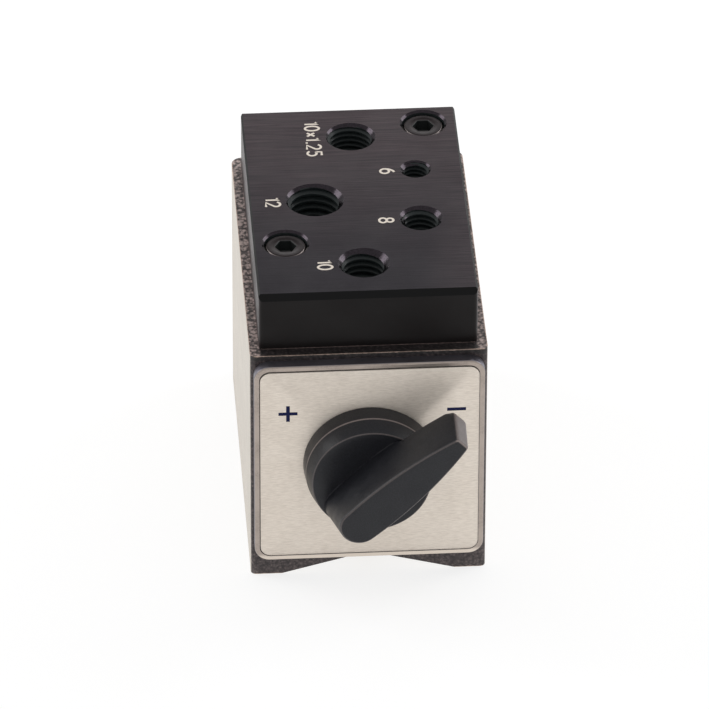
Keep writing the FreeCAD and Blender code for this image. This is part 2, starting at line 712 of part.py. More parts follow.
def make_shaft(label, nose):
    """Make a flanged shaft: its flange is trapped between a rotor cap and the magnet.

    The nose lists the outline's corners in front of the flange, as (along Y, radius).
    """
    body = new_body(label)
    back = (
        (MAGNET_START, "0"),
        (MAGNET_START, "spindle_flange"),
        (f"{MAGNET_START} - spindle_flange_depth", "spindle_flange"),
        (f"{MAGNET_START} - spindle_flange_depth", "spindle_radius"),
    )
    revolve(body, f"{label}_shape", back + nose)
    return body


def make_spindle():
    """Make the spindle: through the front bush, with a neck and a flat for the knob."""
    end = "(end_float - cover_thickness - knob_bore_depth)"
    nose = (
        ("-cover_thickness", "spindle_radius"),
        ("-cover_thickness", "spindle_neck"),
        (f"{end} + spindle_end_edge", "spindle_neck"),
        (end, "spindle_neck - spindle_end_edge"),
        (end, "0"),
    )
    body = make_shaft("spindle", nose)
    flat = new_sketch(body, "spindle_flat", "XZ_Plane", f"-1 * {end}")
    middle = "-1 * (1.5 * spindle_neck - spindle_flat)"
    draw_rectangle(flat, "(3 * spindle_neck)", "spindle_neck", "0", middle)
    pocket(body, flat, "knob_bore_depth - end_float")
    place(body, height="axis_height", angle="lever_rest_angle")
    return body


def make_rear_journal():
    """Make the rear journal, which turns in the rear bush."""
    nose = (
        ("end_float + spindle_end_edge", "spindle_radius"),
        ("end_float", "spindle_radius - spindle_end_edge"),
        ("end_float", "0"),
    )
    body = make_shaft("rear_journal", nose)
    place(body, "body_depth", "axis_height", "180", (0, 0, 1))
    return body


def make_rotor_cap(label):
    """Make one end cap of the rotor: a disc that holds a shaft's flange and the rivets' heads."""
    body = new_body(label)
    outer = f"({SHOE_RADIUS} - rotor_cap_inset)"
    step = f"{MAGNET_START} - spindle_flange_depth"
    revolve(
        body, f"{label}_shape",
        (
            (ROTOR_START, "spindle_radius + fixed_gap"),
            (ROTOR_START, outer),
            (MAGNET_START, outer),
            (MAGNET_START, "spindle_flange + fixed_gap"),
            (step, "spindle_flange + fixed_gap"),
            (step, "spindle_radius + fixed_gap"),
        ),
    )
    centres = [
        (f"{side} * rivet_across / 2", f"{level} * rivet_upright / 2")
        for side in ("-1", "1")
        for level in ("-1", "1")
    ]
    drill(
        body, f"{label}_rivets", "XZ_Plane", f"-1 * {ROTOR_START}", centres,
        "(rivet_radius + fixed_gap)", cut="Countersink", cut_radius="rivet_head",
    )
    return body


def make_rotor_caps():
    """Make both end caps; the front one has a blind hole for the stop pin."""
    front = make_rotor_cap("rotor_front_cap")
    hole = new_sketch(front, "stop_pin_hole", "XZ_Plane", f"-1 * {ROTOR_START}")
    draw_circle(
        hole, "stop_pin_radius + fixed_gap",
        "-stop_radius * sin(turn_angle / 2)", "-stop_radius * cos(turn_angle / 2)",
    )
    pocket(front, hole, "stop_pin_seat")
    place(front, height="axis_height")
    rear = make_rotor_cap("rotor_rear_cap")
    place(rear, "body_depth", "axis_height", "180", (0, 0, 1))
    return [front, rear]


def make_magnet():
    """Make the ferrite magnet, a block between the pole shoes."""
    block = doc.addObject("Part::Box", "magnet_block")
    block.Label = "magnet_block"
    bind(block, Length="magnet_width", Width=f"body_depth - 2 * {MAGNET_START}", Height="magnet_thickness")
    place(block, MAGNET_START, "axis_height - magnet_thickness / 2", across="-magnet_width / 2")
    return block


def make_pole_shoe(label, angle):
    """Make one pole shoe: the segment of a round bar, with two rivet holes."""
    body = new_body(label)
    bar = new_sketch(body, f"{label}_bar", "XZ_Plane", f"-1 * {MAGNET_START}")
    draw_circle(bar, SHOE_RADIUS)
    pad(body, bar, f"body_depth - 2 * {MAGNET_START}", backward=True)
    below = new_sketch(body, f"{label}_flat", "XZ_Plane", f"-1 * {MAGNET_START}")
    depth = f"({SHOE_RADIUS} + magnet_thickness)"
    draw_rectangle(below, f"(3 * {SHOE_RADIUS})", depth, "0", f"(magnet_thickness - {depth}) / 2")
    pocket(body, below)
    holes = new_sketch(body, f"{label}_rivets", "XZ_Plane", f"-1 * {MAGNET_START}")
    for side in ("-1", "1"):
        draw_circle(holes, "rivet_radius + fixed_gap", f"{side} * rivet_across / 2", "rivet_upright / 2")
    pocket(body, holes)
    place(body, height="axis_height", angle=angle)
    return body


def make_rotor_rivets():
    """Make the four rivets that hold caps and shoes together."""
    body = new_body("rotor_rivets")
    head = "(rivet_head - fixed_gap)"
    end = f"(body_depth - {ROTOR_START})"
    shape = revolve(
        body, "rivet_shape",
        (
            (ROTOR_START, "0"),
            (ROTOR_START, head),
            (f"{ROTOR_START} + rivet_head_depth", "rivet_radius"),
            (f"{end} - rivet_head_depth", "rivet_radius"),
            (end, head),
            (end, "0"),
        ),
        "rivet_across / 2", "rivet_upright / 2",
    )
    mirror_copies(body, [shape])
    place(body, height="axis_height")
    return body


def make_stop_pin():
    """Make the pin that limits the turn; it stands out of the rotor's front cap into the groove."""
    pin = doc.addObject("Part::Cylinder", "stop_pin")
    pin.Label = "stop_pin"
    bind(pin, Radius="stop_pin_radius", Height=f"{ROTOR_START} + stop_pin_seat - spigot_depth + stop_pin_reach")
    pin.Placement.Rotation = FreeCAD.Rotation(FreeCAD.Vector(1, 0, 0), -90)
    pin.setExpression("Placement.Base.x", bound("-stop_radius * sin(turn_angle / 2)"))
    pin.setExpression("Placement.Base.y", bound(f"spigot_depth - stop_pin_reach - {MIDDLE}"))
    pin.setExpression("Placement.Base.z", bound("axis_height - stop_radius * cos(turn_angle / 2)"))
    return pin


def make_knob():
    """Make the lever knob: a low disc with a cone, and the lever that stands across it."""
    body = new_body("knob")
    base, rim_top = "-cover_thickness", "-cover_thickness - knob_rim_height"
    face = f"-1 * {DISC_FACE}"
    disc = revolve(
        body, "knob_disc",
        (
            (base, "0"),
            (base, "knob_radius"),
            (rim_top, "knob_radius - knob_draft"),
            (face, "knob_face_radius"),
            (face, "knob_face_radius - knob_dish"),
            (f"{face} + knob_dish", "spindle_radius"),
            (f"{face} + knob_dish", "0"),
        ),
    )
    levels = (number(rim_top), number(face))
    rims = (number("knob_radius - knob_draft"), number("knob_face_radius"))
    soften(
        body, disc, "Fillet", "knob_edge",
        lambda middle, heading: any(
            is_near(middle.y, level) and is_near(abs(middle.z), rim) for level, rim in zip(levels, rims)
        ),
    )
    root = new_sketch(body, "lever_root", "XZ_Plane", f"{DISC_FACE} - 2 * knob_dish")
    draw_lever(root, "lever_tail_foot")
    crest = new_sketch(body, "lever_crest", "XZ_Plane", LEVER_FACE)
    draw_lever(crest, "lever_tail_reach")
    lever = body.newObject("PartDesign::AdditiveLoft", "lever")
    lever.Profile = root
    lever.Sections = [crest]
    lever.Ruled = True
    doc.recompute()
    free_span = "(lever_reach - knob_face_radius)"
    under = new_sketch(body, "lever_underside", "XZ_Plane", f"{DISC_FACE} + lever_under")
    middle = f"knob_face_radius + 2 * knob_dish + {free_span} / 2"
    draw_rectangle(under, free_span, "(4 * lever_belly)", middle, "0")
    shape = pocket(body, under, "lever_under + 2 * knob_dish")
    level = -number(f"{DISC_FACE} + lever_under")
    reach = number("lever_reach")
    shape = soften(
        body, shape, "Fillet", "lever_tip_edge",
        lambda middle, heading: is_near(middle.x, reach) and is_near(middle.y, level),
    )
    crest_level = -number(LEVER_FACE)
    soften(body, shape, "Fillet", "lever_face_edge", lambda middle, heading: is_near(middle.y, crest_level))
    bore = new_sketch(body, "knob_bore", "XZ_Plane", "cover_thickness")
    draw_circle(bore, "spindle_neck + fixed_gap")
    pocket(body, bore, "knob_bore_depth", forward=True)
    grub = new_sketch(body, "grub_hole", "XY_Plane")
    draw_circle(grub, "grub_radius + fixed_gap", "0", "-cover_thickness - grub_place")
    pocket(body, grub)
    place(body, height="axis_height", angle="lever_rest_angle")
    return body


def make_grub_screw():
    """Make the grub screw that holds the knob on the spindle's flat."""
    body = new_body("knob_grub_screw")
    outer = "(spindle_neck - spindle_flat + grub_length)"
    along = "-cover_thickness - grub_place"
    rod = new_sketch(body, "grub_rod", "XY_Plane", f"-1 * {outer}")
    draw_circle(rod, "grub_radius", "0", along)
    pad(body, rod, "grub_length")
    socket = new_sketch(body, "grub_socket", "XY_Plane", f"-1 * {outer}")
    draw_hexagon(socket, "grub_hex", "0", along)
    pocket(body, socket, "grub_hex", forward=True)
    place(body, height="axis_height", angle="lever_rest_angle")
    return body


def make_pieces():
    """Make every piece of the base, the fixed ones first and then those of the rotor."""
    groove_top = "(body_width / 2 - foot_width - strip_width / 2) * tan(groove_angle) + strip_relief"
    fixed = [
        make_pole_block("left_pole_block", "-1", "front"),
        make_pole_block("right_pole_block", "1", "rear"),
        make_strip("top_separator", "axis_height", "body_height"),
        make_strip("bottom_separator", groove_top, "axis_height"),
        make_top_plate(),
        make_cap_screw("front_cap_screw", "front"),
        make_cap_screw("rear_cap_screw", "rear"),
        make_front_cover(),
        make_cover_screws("front_cover_screws", "(cover_thickness - label_recess)", "0", "0"),
        make_label_plate(),
        make_bush("front_bush", "(label_recess - cover_thickness)", "0", "0"),
        make_rear_cover(),
        make_cover_screws("rear_cover_screws", "cover_thickness", "body_depth", "180"),
        make_bush("rear_bush", "0", "body_depth", "180"),
    ]
    turning = [
        make_knob(),
        make_grub_screw(),
        make_spindle(),
        *make_rotor_caps(),
        make_rear_journal(),
        make_magnet(),
        make_pole_shoe("upper_pole_shoe", "0"),
        make_pole_shoe("lower_pole_shoe", "180"),
        make_rotor_rivets(),
        make_stop_pin(),
    ]
    return fixed + turning


def check_and_export(pieces):
    """Refuse a failed object or shape, then write each piece to its own file."""
    doc.recompute()
    failed = [thing.Name for thing in doc.Objects if {"Invalid", "Error"} & set(thing.State)]
    failed += [piece.Label for piece in pieces if piece.Shape.isNull() or not piece.Shape.isValid()]
    if failed:
        raise RuntimeError(f"failed: {failed}")
    os.makedirs("parts", exist_ok=True)
    for piece in pieces:
        piece.Shape.exportStep(f"parts/{piece.Label}.step")
        print(f"{piece.Label}: {len(piece.Shape.Solids)} solids, {piece.Shape.Volume / 1000:.3f} cm3")


fill_sheet()
check_and_export(make_pieces())
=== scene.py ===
"""A switchable magnetic base with a five-hole top plate and a lever knob, on a pale studio floor.

Arrays of points are in millimetres, X across, Y back and Z up from the floor, and turn to metres where a
mesh is made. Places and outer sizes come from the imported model.
"""
import json
import logging
import math
from dataclasses import dataclass, field
from enum import Enum
from functools import partial
from typing import Any, Callable

import bmesh
import bpy
import numpy as np
from mathutils import Matrix, Vector
from mathutils.geometry import delaunay_2d_cdt


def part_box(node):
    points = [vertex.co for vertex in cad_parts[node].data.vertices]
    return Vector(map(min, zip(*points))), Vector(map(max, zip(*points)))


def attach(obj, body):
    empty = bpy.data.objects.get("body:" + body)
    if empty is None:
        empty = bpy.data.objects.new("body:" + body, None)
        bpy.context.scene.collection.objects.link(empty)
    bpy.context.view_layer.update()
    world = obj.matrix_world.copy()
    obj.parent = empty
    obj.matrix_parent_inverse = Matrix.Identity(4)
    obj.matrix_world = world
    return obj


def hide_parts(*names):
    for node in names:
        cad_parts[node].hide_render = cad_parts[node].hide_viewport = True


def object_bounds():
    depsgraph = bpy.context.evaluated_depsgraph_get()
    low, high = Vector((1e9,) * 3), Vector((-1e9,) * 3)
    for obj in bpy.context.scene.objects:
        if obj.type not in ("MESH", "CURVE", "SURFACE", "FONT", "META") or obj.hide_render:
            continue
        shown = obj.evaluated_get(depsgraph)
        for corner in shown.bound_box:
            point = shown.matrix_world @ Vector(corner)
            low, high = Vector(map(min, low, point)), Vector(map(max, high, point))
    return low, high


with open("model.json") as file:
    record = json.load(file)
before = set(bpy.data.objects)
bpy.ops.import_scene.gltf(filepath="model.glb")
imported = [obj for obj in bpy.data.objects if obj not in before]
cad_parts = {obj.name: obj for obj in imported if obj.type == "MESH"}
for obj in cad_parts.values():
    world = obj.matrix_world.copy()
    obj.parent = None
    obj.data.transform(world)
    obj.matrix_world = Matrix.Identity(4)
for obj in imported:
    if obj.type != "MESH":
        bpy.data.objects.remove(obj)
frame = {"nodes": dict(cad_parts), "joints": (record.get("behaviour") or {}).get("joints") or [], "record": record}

LOG = logging.getLogger("magnetic_base")
CAD_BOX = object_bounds()
MM = 0.001
TINY = 1e-6
# Where the shared effects start and end: shares of noise, of a cell's size and of a doubled slope.
NOISE_SPAN = (0.3, 0.7)
SMUDGE_SPAN = (0.35, 0.65)
CELL_REACH = 0.9
SLOPE_SPAN = (0.85, 0.6)
CAP_SCREWS = ("front_cap_screw", "rear_cap_screw")
Colour = tuple[float, float, float]
Place = tuple[float, float, float]
Span = tuple[float, float]


class Working(Enum):
    """Which way the fine lines of the last working run: changes a millimetre along X, Y and Z."""

    ACROSS = (0.06, 5.0, 5.0)
    BACKWARD = (5.0, 0.06, 5.0)
    BRUSHED = (0.7, 5.0, 5.0)
    EVEN = (3.0, 3.0, 3.0)


def srgb(red: float, green: float, blue: float) -> Colour:
    """Turn a display colour into the linear values that a shader reads.

    Args:
        red: Red, 0 to 255.
        green: Green, 0 to 255.
        blue: Blue, 0 to 255.

    Returns:
        Each share of 255, offset by 0.055 and raised to the power 2.4, or a twelfth of it near black.
    """
    shares = np.array([red, green, blue]) / 255.0
    linear = np.where(shares <= 0.04045, shares / 12.92, ((shares + 0.055) / 1.055) ** 2.4)
    return float(linear[0]), float(linear[1]), float(linear[2])


def grey(tone: float) -> tuple[float, float, float, float]:
    """Give a grey, as linear red, green and blue with full cover."""
    return tone, tone, tone, 1.0


def smooth_step(values: np.ndarray, low: float, high: float) -> np.ndarray:
    """Rise from 0 at low to 1 at high: 3 t squared minus 2 t cubed, with t the clipped share."""
    share = np.clip((values - low) / (high - low), 0.0, 1.0)
    return share * share * (3.0 - 2.0 * share)


def box_mm(node: str) -> tuple[np.ndarray, np.ndarray]:
    """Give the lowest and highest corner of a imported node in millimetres."""
    low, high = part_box(node)
    return np.array(low) / MM, np.array(high) / MM


def middle_mm(node: str) -> np.ndarray:
    """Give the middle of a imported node's box, seen from above, in millimetres."""
    low, high = box_mm(node)
    return ((low + high) / 2.0)[:2]


def turning_axis() -> np.ndarray:
    """Give the point in millimetres that the joint's axis goes through."""
    return np.array(frame["joints"][0]["pos_m"]) / MM


@dataclass
class Shell:
    """Points in millimetres with the quads and triangles between them."""

    points: np.ndarray
    quads: np.ndarray = field(default_factory=lambda: np.zeros((0, 4), int))
    triangles: np.ndarray = field(default_factory=lambda: np.zeros((0, 3), int))

    def joined(self, *others: "Shell") -> "Shell":
        """Put other shells' points and faces after this one's.

        Args:
            others: The shells to add.

        Returns:
            A new shell; each added index is raised by the number of points before it.
        """
        points, quads, triangles = [self.points], [self.quads], [self.triangles]
        start = len(self.points)
        for other in others:
            points.append(other.points)
            quads.append(other.quads + start)
            triangles.append(other.triangles + start)
            start += len(other.points)
        return Shell(np.vstack(points), np.vstack(quads), np.vstack(triangles))

    def moved(self, offset: np.ndarray) -> "Shell":
        """Move every point by the same offset."""
        return Shell(self.points + offset, self.quads, self.triangles)


def grid_shell(points: np.ndarray, wrap: bool = True, close_ends: bool = False) -> Shell:
    """Join a grid of points with quads: row r, columns c and c + 1, and row r + 1 the same.

    Args:
        points: Rows by columns by 3.
        wrap: Whether the last column joins the first.
        close_ends: Whether the first and last row are closed with a fan round their middle.

    Returns:
        The grid as a shell.
    """
    rows, columns, _ = points.shape
    across = np.arange(columns if wrap else columns - 1)
    start = (np.arange(rows - 1) * columns)[:, None]
    left, right = start + across, start + (across + 1) % columns
    quads = np.stack([left, right, right + columns, left + columns], axis=-1).reshape(-1, 4)
    shell = Shell(points.reshape(-1, 3), quads)
    if close_ends:
        ring = np.arange(columns)
        hubs = points[[0, -1]].mean(axis=1)
        fans = [
            np.stack([first + ring, first + (ring + 1) % columns, np.full(columns, hub)], axis=-1)
            for first, hub in ((0, rows * columns), ((rows - 1) * columns, rows * columns + 1))
        ]
        shell = Shell(np.vstack([shell.points, hubs]), quads, np.vstack(fans))
    return shell


def circle(radius: float, count: int) -> np.ndarray:
    """Give points round a circle: radius times cosine and sine of evenly spaced angles."""
    angle = np.arange(count) * 2.0 * np.pi / count
    return np.stack([radius * np.cos(angle), radius * np.sin(angle)], axis=-1)


def turned(profile: list[tuple[float, float]], count: int) -> np.ndarray:
    """Carry a profile round the Z axis.

    Args:
        profile: Radius and height of each point.
        count: Points round the axis.

    Returns:
        Rows by count by 3: radius times cosine, radius times sine, height.
    """
    radius, height = np.array(profile, float).T
    angle = np.arange(count) * 2.0 * np.pi / count
    flat = radius[:, None, None] * np.stack([np.cos(angle), np.sin(angle)], axis=-1)
    return np.concatenate([flat, np.broadcast_to(height[:, None, None], (*flat.shape[:2], 1))], axis=-1)


def rounded_rectangle(half_width: float, half_height: float, corner: float, per_corner: int) -> np.ndarray:
    """Give points round a rectangle with round corners, counter-clockwise from its right side.

    Args:
        half_width: Half the width.
        half_height: Half the height.
        corner: Radius of the corners.
        per_corner: Points on each quarter circle.

    Returns:
        Four quarter circles, each about its own centre, with straight sides left between them.
    """
    quarter = np.linspace(0.0, np.pi / 2.0, per_corner)
    angle = (quarter + np.arange(4)[:, None] * np.pi / 2.0).ravel()
    signs = np.repeat(np.array([[1, 1], [-1, 1], [-1, -1], [1, -1]]), per_corner, axis=0)
    centre = signs * np.array([half_width - corner, half_height - corner])
    return centre + corner * np.stack([np.cos(angle), np.sin(angle)], axis=-1)


def inside(points: np.ndarray, loop: np.ndarray) -> np.ndarray:
    """Tell which points lie in a closed loop: a ray to the right crosses it an odd number of times.

    Args:
        points: Points, two columns.
        loop: The loop's points, two columns.

    Returns:
        Yes or no for each point.
    """
    start, end = loop, np.roll(loop, -1, axis=0)
    across, up = points[:, :1], points[:, 1:]
    spans = (start[:, 1] > up) != (end[:, 1] > up)
    rise = np.where(end[:, 1] == start[:, 1], 1.0, end[:, 1] - start[:, 1])
    crossing = start[:, 0] + (up - start[:, 1]) / rise * (end[:, 0] - start[:, 0])
    return (spans & (across < crossing)).sum(axis=1) % 2 == 1


def filled(outline: np.ndarray, holes: list[np.ndarray], level: float) -> Shell:
    """Fill a flat outline that has holes.

    Args:
        outline: Points of the outer edge, two columns.
        holes: Points of each hole's edge.
        level: Height of the flat face.

    Returns:
        The constrained Delaunay triangles whose middle is in the outline and in no hole.
    """
    loops = [outline, *holes]
    starts = np.cumsum([0] + [len(loop) for loop in loops])
    edges = [
        (int(start + index), int(start + (index + 1) % len(loop)))
        for start, loop in zip(starts, loops)
        for index in range(len(loop))
    ]
    corners, _, faces, *_ = delaunay_2d_cdt([Vector(point) for point in np.vstack(loops)], edges, [], 0, TINY)
    points = np.array([tuple(corner) for corner in corners])
    triangles = np.array([face for face in faces if len(face) == 3])
    middle = points[triangles].mean(axis=1)
    keep = inside(middle, outline)
    for hole in holes:
        keep &= ~inside(middle, hole)
    return Shell(np.column_stack([points, np.full(len(points), level)]), triangles=triangles[keep])


def tidy_mesh(mesh: bpy.types.Mesh, merge: float = 0.002, short: float = 0.0005) -> None:
    """Merge points that coincide, drop faces without area and turn all faces outward.

    Args:
        mesh: The mesh.
        merge: Distance in millimetres under which points become one.
        short: Length in millimetres under which an edge counts as none.
    """
    work = bmesh.new()
    work.from_mesh(mesh)
    bmesh.ops.remove_doubles(work, verts=work.verts, dist=merge * MM)
    bmesh.ops.dissolve_degenerate(work, edges=work.edges, dist=short * MM)
    bmesh.ops.recalc_face_normals(work, faces=work.faces)
    work.to_mesh(mesh)
    work.free()


def make_piece(
    name: str, shell: Shell, finish: bpy.types.Material, body: str, crease: float = 35.0
) -> bpy.types.Object:
    """Make a mesh piece from a shell, with its place in the mesh.

    Args:
        name: Name of the piece.
        shell: Its points and faces, in millimetres.
        finish: Its material.
        body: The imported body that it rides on.
        crease: Edges that turn by more than this many degrees stay sharp.

    Returns:
        The object, closed, with its faces outward.
    """
    mesh = bpy.data.meshes.new(name)
    mesh.from_pydata((shell.points * MM).tolist(), [], shell.quads.tolist() + shell.triangles.tolist())
    piece = bpy.data.objects.new(name, mesh)
    bpy.context.scene.collection.objects.link(piece)
    tidy_mesh(mesh)
    mesh.shade_smooth()
    mesh.set_sharp_from_angle(angle=math.radians(crease))
    mesh.materials.append(finish)
    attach(piece, body)
    LOG.info("%s: %d faces", name, len(mesh.polygons))
    return piece


def refinish(piece: bpy.types.Object, finish: bpy.types.Material, pick: Callable[[np.ndarray], np.ndarray]) -> None:
    """Give some faces of a piece another finish.

    Args:
        piece: The piece, which has its first finish.
        finish: The other finish.
        pick: Tells from the faces' middles, in millimetres, which faces get it.
    """
    mesh = piece.data
    mesh.materials.append(finish)
    middles, numbers = np.empty(len(mesh.polygons) * 3), np.empty(len(mesh.polygons), np.int32)
    mesh.polygons.foreach_get("center", middles)
    mesh.polygons.foreach_get("material_index", numbers)
    picked = pick(middles.reshape(-1, 3) / MM)
    mesh.polygons.foreach_set("material_index", np.where(picked, len(mesh.materials) - 1, numbers).astype(np.int32))


def mark_points(piece: bpy.types.Object, name: str, measure: Callable[[np.ndarray], np.ndarray]) -> None:
    """Store a number for each point of a piece, for its finish to read.

    Args:
        piece: The piece.
        name: Name of the mesh's attribute.
        measure: Works out the numbers from the points in millimetres.
    """
    mesh = piece.data
    points = np.empty(len(mesh.vertices) * 3)
    mesh.vertices.foreach_get("co", points)
    attribute = mesh.attributes.new(name, "FLOAT", "POINT")
    attribute.data.foreach_set("value", measure(points.reshape(-1, 3) / MM).astype(np.float32))


def dress(finish: bpy.types.Material, *nodes: str) -> None:
    """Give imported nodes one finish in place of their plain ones.

    Args:
        finish: The finish.
        nodes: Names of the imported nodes.
    """
    for node in nodes:
        mesh = frame["nodes"][node].data
        mesh.materials.clear()
        mesh.materials.append(finish)
        LOG.info("%s: dressed", node)


Inputs = dict[str | int, Any]


def add_node(tree: bpy.types.NodeTree, kind: str, inputs: Inputs | None = None, **settings: Any) -> bpy.types.Node:
    """Add a node, set its options and feed its inputs.

    Args:
        tree: The tree that gets the node.
        kind: The node's type.
        inputs: For each input, by name or number, a value or the output of another node.
        settings: The node's own options.

    Returns:
        The node.
    """
    made = tree.nodes.new(kind)
    for option, value in settings.items():
        setattr(made, option, value)
    for name, value in (inputs or {}).items():
        if isinstance(value, bpy.types.NodeSocket):
            tree.links.new(value, made.inputs[name])
        else:
            made.inputs[name].default_value = value
    return made


def add_maths(tree: bpy.types.NodeTree, operation: str, *values: Any) -> Any:
    """Add an operation on numbers and give its output."""
    return add_node(tree, "ShaderNodeMath", dict(enumerate(values)), operation=operation).outputs[0]


def add_vectors(tree: bpy.types.NodeTree, operation: str, *values: Any) -> Any:
    """Add an operation on vectors and give its output."""
    return add_node(tree, "ShaderNodeVectorMath", dict(enumerate(values)), operation=operation).outputs[0]


def add_noise(tree: bpy.types.NodeTree, vector: Any, scale: Any, detail: float, roughness: float = 0.5) -> Any:
    """Add noise and give its output."""
    inputs = {"Vector": vector, "Scale": scale, "Detail": detail, "Roughness": roughness}
    return add_node(tree, "ShaderNodeTexNoise", inputs).outputs[0]


def add_ramp(
    tree: bpy.types.NodeTree, value: Any, low: Any, high: Any, first: Any = 0.0, last: Any = 1.0, smooth: bool = False
) -> Any:
    """Add a ramp, which gives one number where a value is low, another where it is high, and a mix between.

    Args:
        tree: The tree that gets the node.
        value: The output that the ramp reads.
        low: The value at which it starts.
        high: The value at which it ends.
        first: What it gives at its start.
        last: What it gives at its end.
        smooth: Whether it starts and ends softly, as 3 t squared minus 2 t cubed.

    Returns:
        The ramp's output.
    """
    inputs = dict(enumerate((value, low, high, first, last)))
    kind = "SMOOTHSTEP" if smooth else "LINEAR"
    return add_node(tree, "ShaderNodeMapRange", inputs, interpolation_type=kind).outputs[0]


def new_group(name: str, inputs: dict[str, tuple[str, Any]], output: str) -> tuple[Any, Any, Any]:
    """Start a shader node group with one output that changes over the surface.

    Args:
        name: The group's name.
        inputs: For each input, its kind of socket and its first value.
        output: Name of the output, a plain number.

    Returns:
        The tree, the outputs of its input node and the input of its output node.
    """
    tree = bpy.data.node_groups.new(name, "ShaderNodeTree")
    for label, (kind, value) in inputs.items():
        socket = tree.interface.new_socket(label, in_out="INPUT", socket_type=kind)
        socket.default_value = value
    tree.interface.new_socket(output, in_out="OUTPUT", socket_type="NodeSocketFloat")
    return tree, tree.nodes.new("NodeGroupInput").outputs, tree.nodes.new("NodeGroupOutput").inputs[0]


def lines_group() -> bpy.types.NodeTree:
    """Build the effect of fine working lines: noise on coordinates that are stretched along the lines.

    Returns:
        The group.
    """
    tree, given, result = new_group(
        "working_lines",
        {"Vector": ("NodeSocketVector", (0, 0, 0)), "Stretch": ("NodeSocketVector", (0.05, 6, 6))},
        "Lines",
    )
    place = add_vectors(tree, "MULTIPLY", given["Vector"], given["Stretch"])
    noise = add_noise(tree, place, scale=1.0, detail=4.0, roughness=0.7)
    tree.links.new(add_ramp(tree, noise, *NOISE_SPAN), result)
    return tree


def grain_group() -> bpy.types.NodeTree:
    """Build the effect of a grainy coat: round cells of one size, broken up by noise.

    Returns:
        The group.
    """
    tree, given, result = new_group(
        "coat_grain",
        {"Vector": ("NodeSocketVector", (0, 0, 0)), "Size": ("NodeSocketFloat", 0.5)},
        "Grain",
    )
    share = add_maths(tree, "DIVIDE", 1.0, given["Size"])
    place = add_node(tree, "ShaderNodeVectorMath", {0: given["Vector"], "Scale": share}, operation="SCALE").outputs[0]
    cells = add_node(tree, "ShaderNodeTexVoronoi", {"Vector": place, "Scale": 1.0}).outputs["Distance"]
    hills = add_ramp(tree, cells, 0.0, CELL_REACH, 1.0, 0.0)
    noise = add_noise(tree, place, scale=1.3, detail=3.0)
    tree.links.new(add_maths(tree, "MULTIPLY", hills, add_ramp(tree, noise, *NOISE_SPAN)), result)
    return tree


def wear_group() -> bpy.types.NodeTree:
    """Build the effect of worn box edges.

    A point on a box is nearest to the face that it lies on, so the second least of its distances to
    the box's sides along X, Y and Z is its distance to the nearest edge. Noise makes that ragged.

    Returns:
        The group.
    """
    tree, given, result = new_group(
        "edge_wear",
        {
            "Vector": ("NodeSocketVector", (0, 0, 0)),
            "Low": ("NodeSocketVector", (0, 0, 0)),
            "High": ("NodeSocketVector", (1, 1, 1)),
            "Width": ("NodeSocketFloat", 0.3),
            "Ragged": ("NodeSocketFloat", 0.3),
        },
        "Wear",
    )
    maths, vectors = partial(add_maths, tree), partial(add_vectors, tree)
    from_low = vectors("ABSOLUTE", vectors("SUBTRACT", given["Vector"], given["Low"]))
    from_high = vectors("ABSOLUTE", vectors("SUBTRACT", given["High"], given["Vector"]))
    parts = add_node(tree, "ShaderNodeSeparateXYZ", {0: vectors("MINIMUM", from_low, from_high)}).outputs
    most = maths("MAXIMUM", maths("MAXIMUM", parts[0], parts[1]), parts[2])
    least = maths("MINIMUM", maths("MINIMUM", parts[0], parts[1]), parts[2])
    total = maths("ADD", maths("ADD", parts[0], parts[1]), parts[2])
    second_least = maths("SUBTRACT", maths("SUBTRACT", total, most), least)
    noise = add_noise(tree, given["Vector"], scale=1.6, detail=3.0)
    rough_edge = maths("MULTIPLY", maths("SUBTRACT", noise, 0.5), given["Ragged"])
    distance = maths("ADD", second_least, rough_edge)
    tree.links.new(add_ramp(tree, distance, 0.0, given["Width"], 1.0, 0.0, smooth=True), result)
    return tree


def slope_group() -> bpy.types.NodeTree:
    """Build the effect of bevels: 1 where a face slopes between level and upright, 0 where it is either.

    Twice the upward part of the normal, less 1, is 0 at a slope of 60 degrees and 1 or -1 at the ends.
    Materials use the share to paint a highlight onto the screws' bevels and shade onto the plate's bevel.

    Returns:
        The group.
    """
    tree, given, result = new_group("sloping_faces", {"Vector": ("NodeSocketVector", (0, 0, 1))}, "Slope")
    upward = add_node(tree, "ShaderNodeSeparateXYZ", {0: given["Vector"]}).outputs["Z"]
    double = add_maths(tree, "MULTIPLY_ADD", add_maths(tree, "ABSOLUTE", upward), 2.0, -1.0)
    tree.links.new(add_ramp(tree, add_maths(tree, "ABSOLUTE", double), *SLOPE_SPAN), result)
    return tree


def smudge_group() -> bpy.types.NodeTree:
    """Build the effect of handling: broad soft blotches of noise.

    Returns:
        The group.
    """
    tree, given, result = new_group(
        "handling_smudges",
        {"Vector": ("NodeSocketVector", (0, 0, 0)), "Size": ("NodeSocketFloat", 10.0)},
        "Smudge",
    )
    share = add_maths(tree, "DIVIDE", 1.0, given["Size"])
    noise = add_noise(tree, given["Vector"], scale=share, detail=5.0, roughness=0.6)
    tree.links.new(add_ramp(tree, noise, *SMUDGE_SPAN, smooth=True), result)
    return tree


LINES = lines_group()
GRAIN = grain_group()
WEAR = wear_group()
SLOPE = slope_group()
SMUDGE = smudge_group()


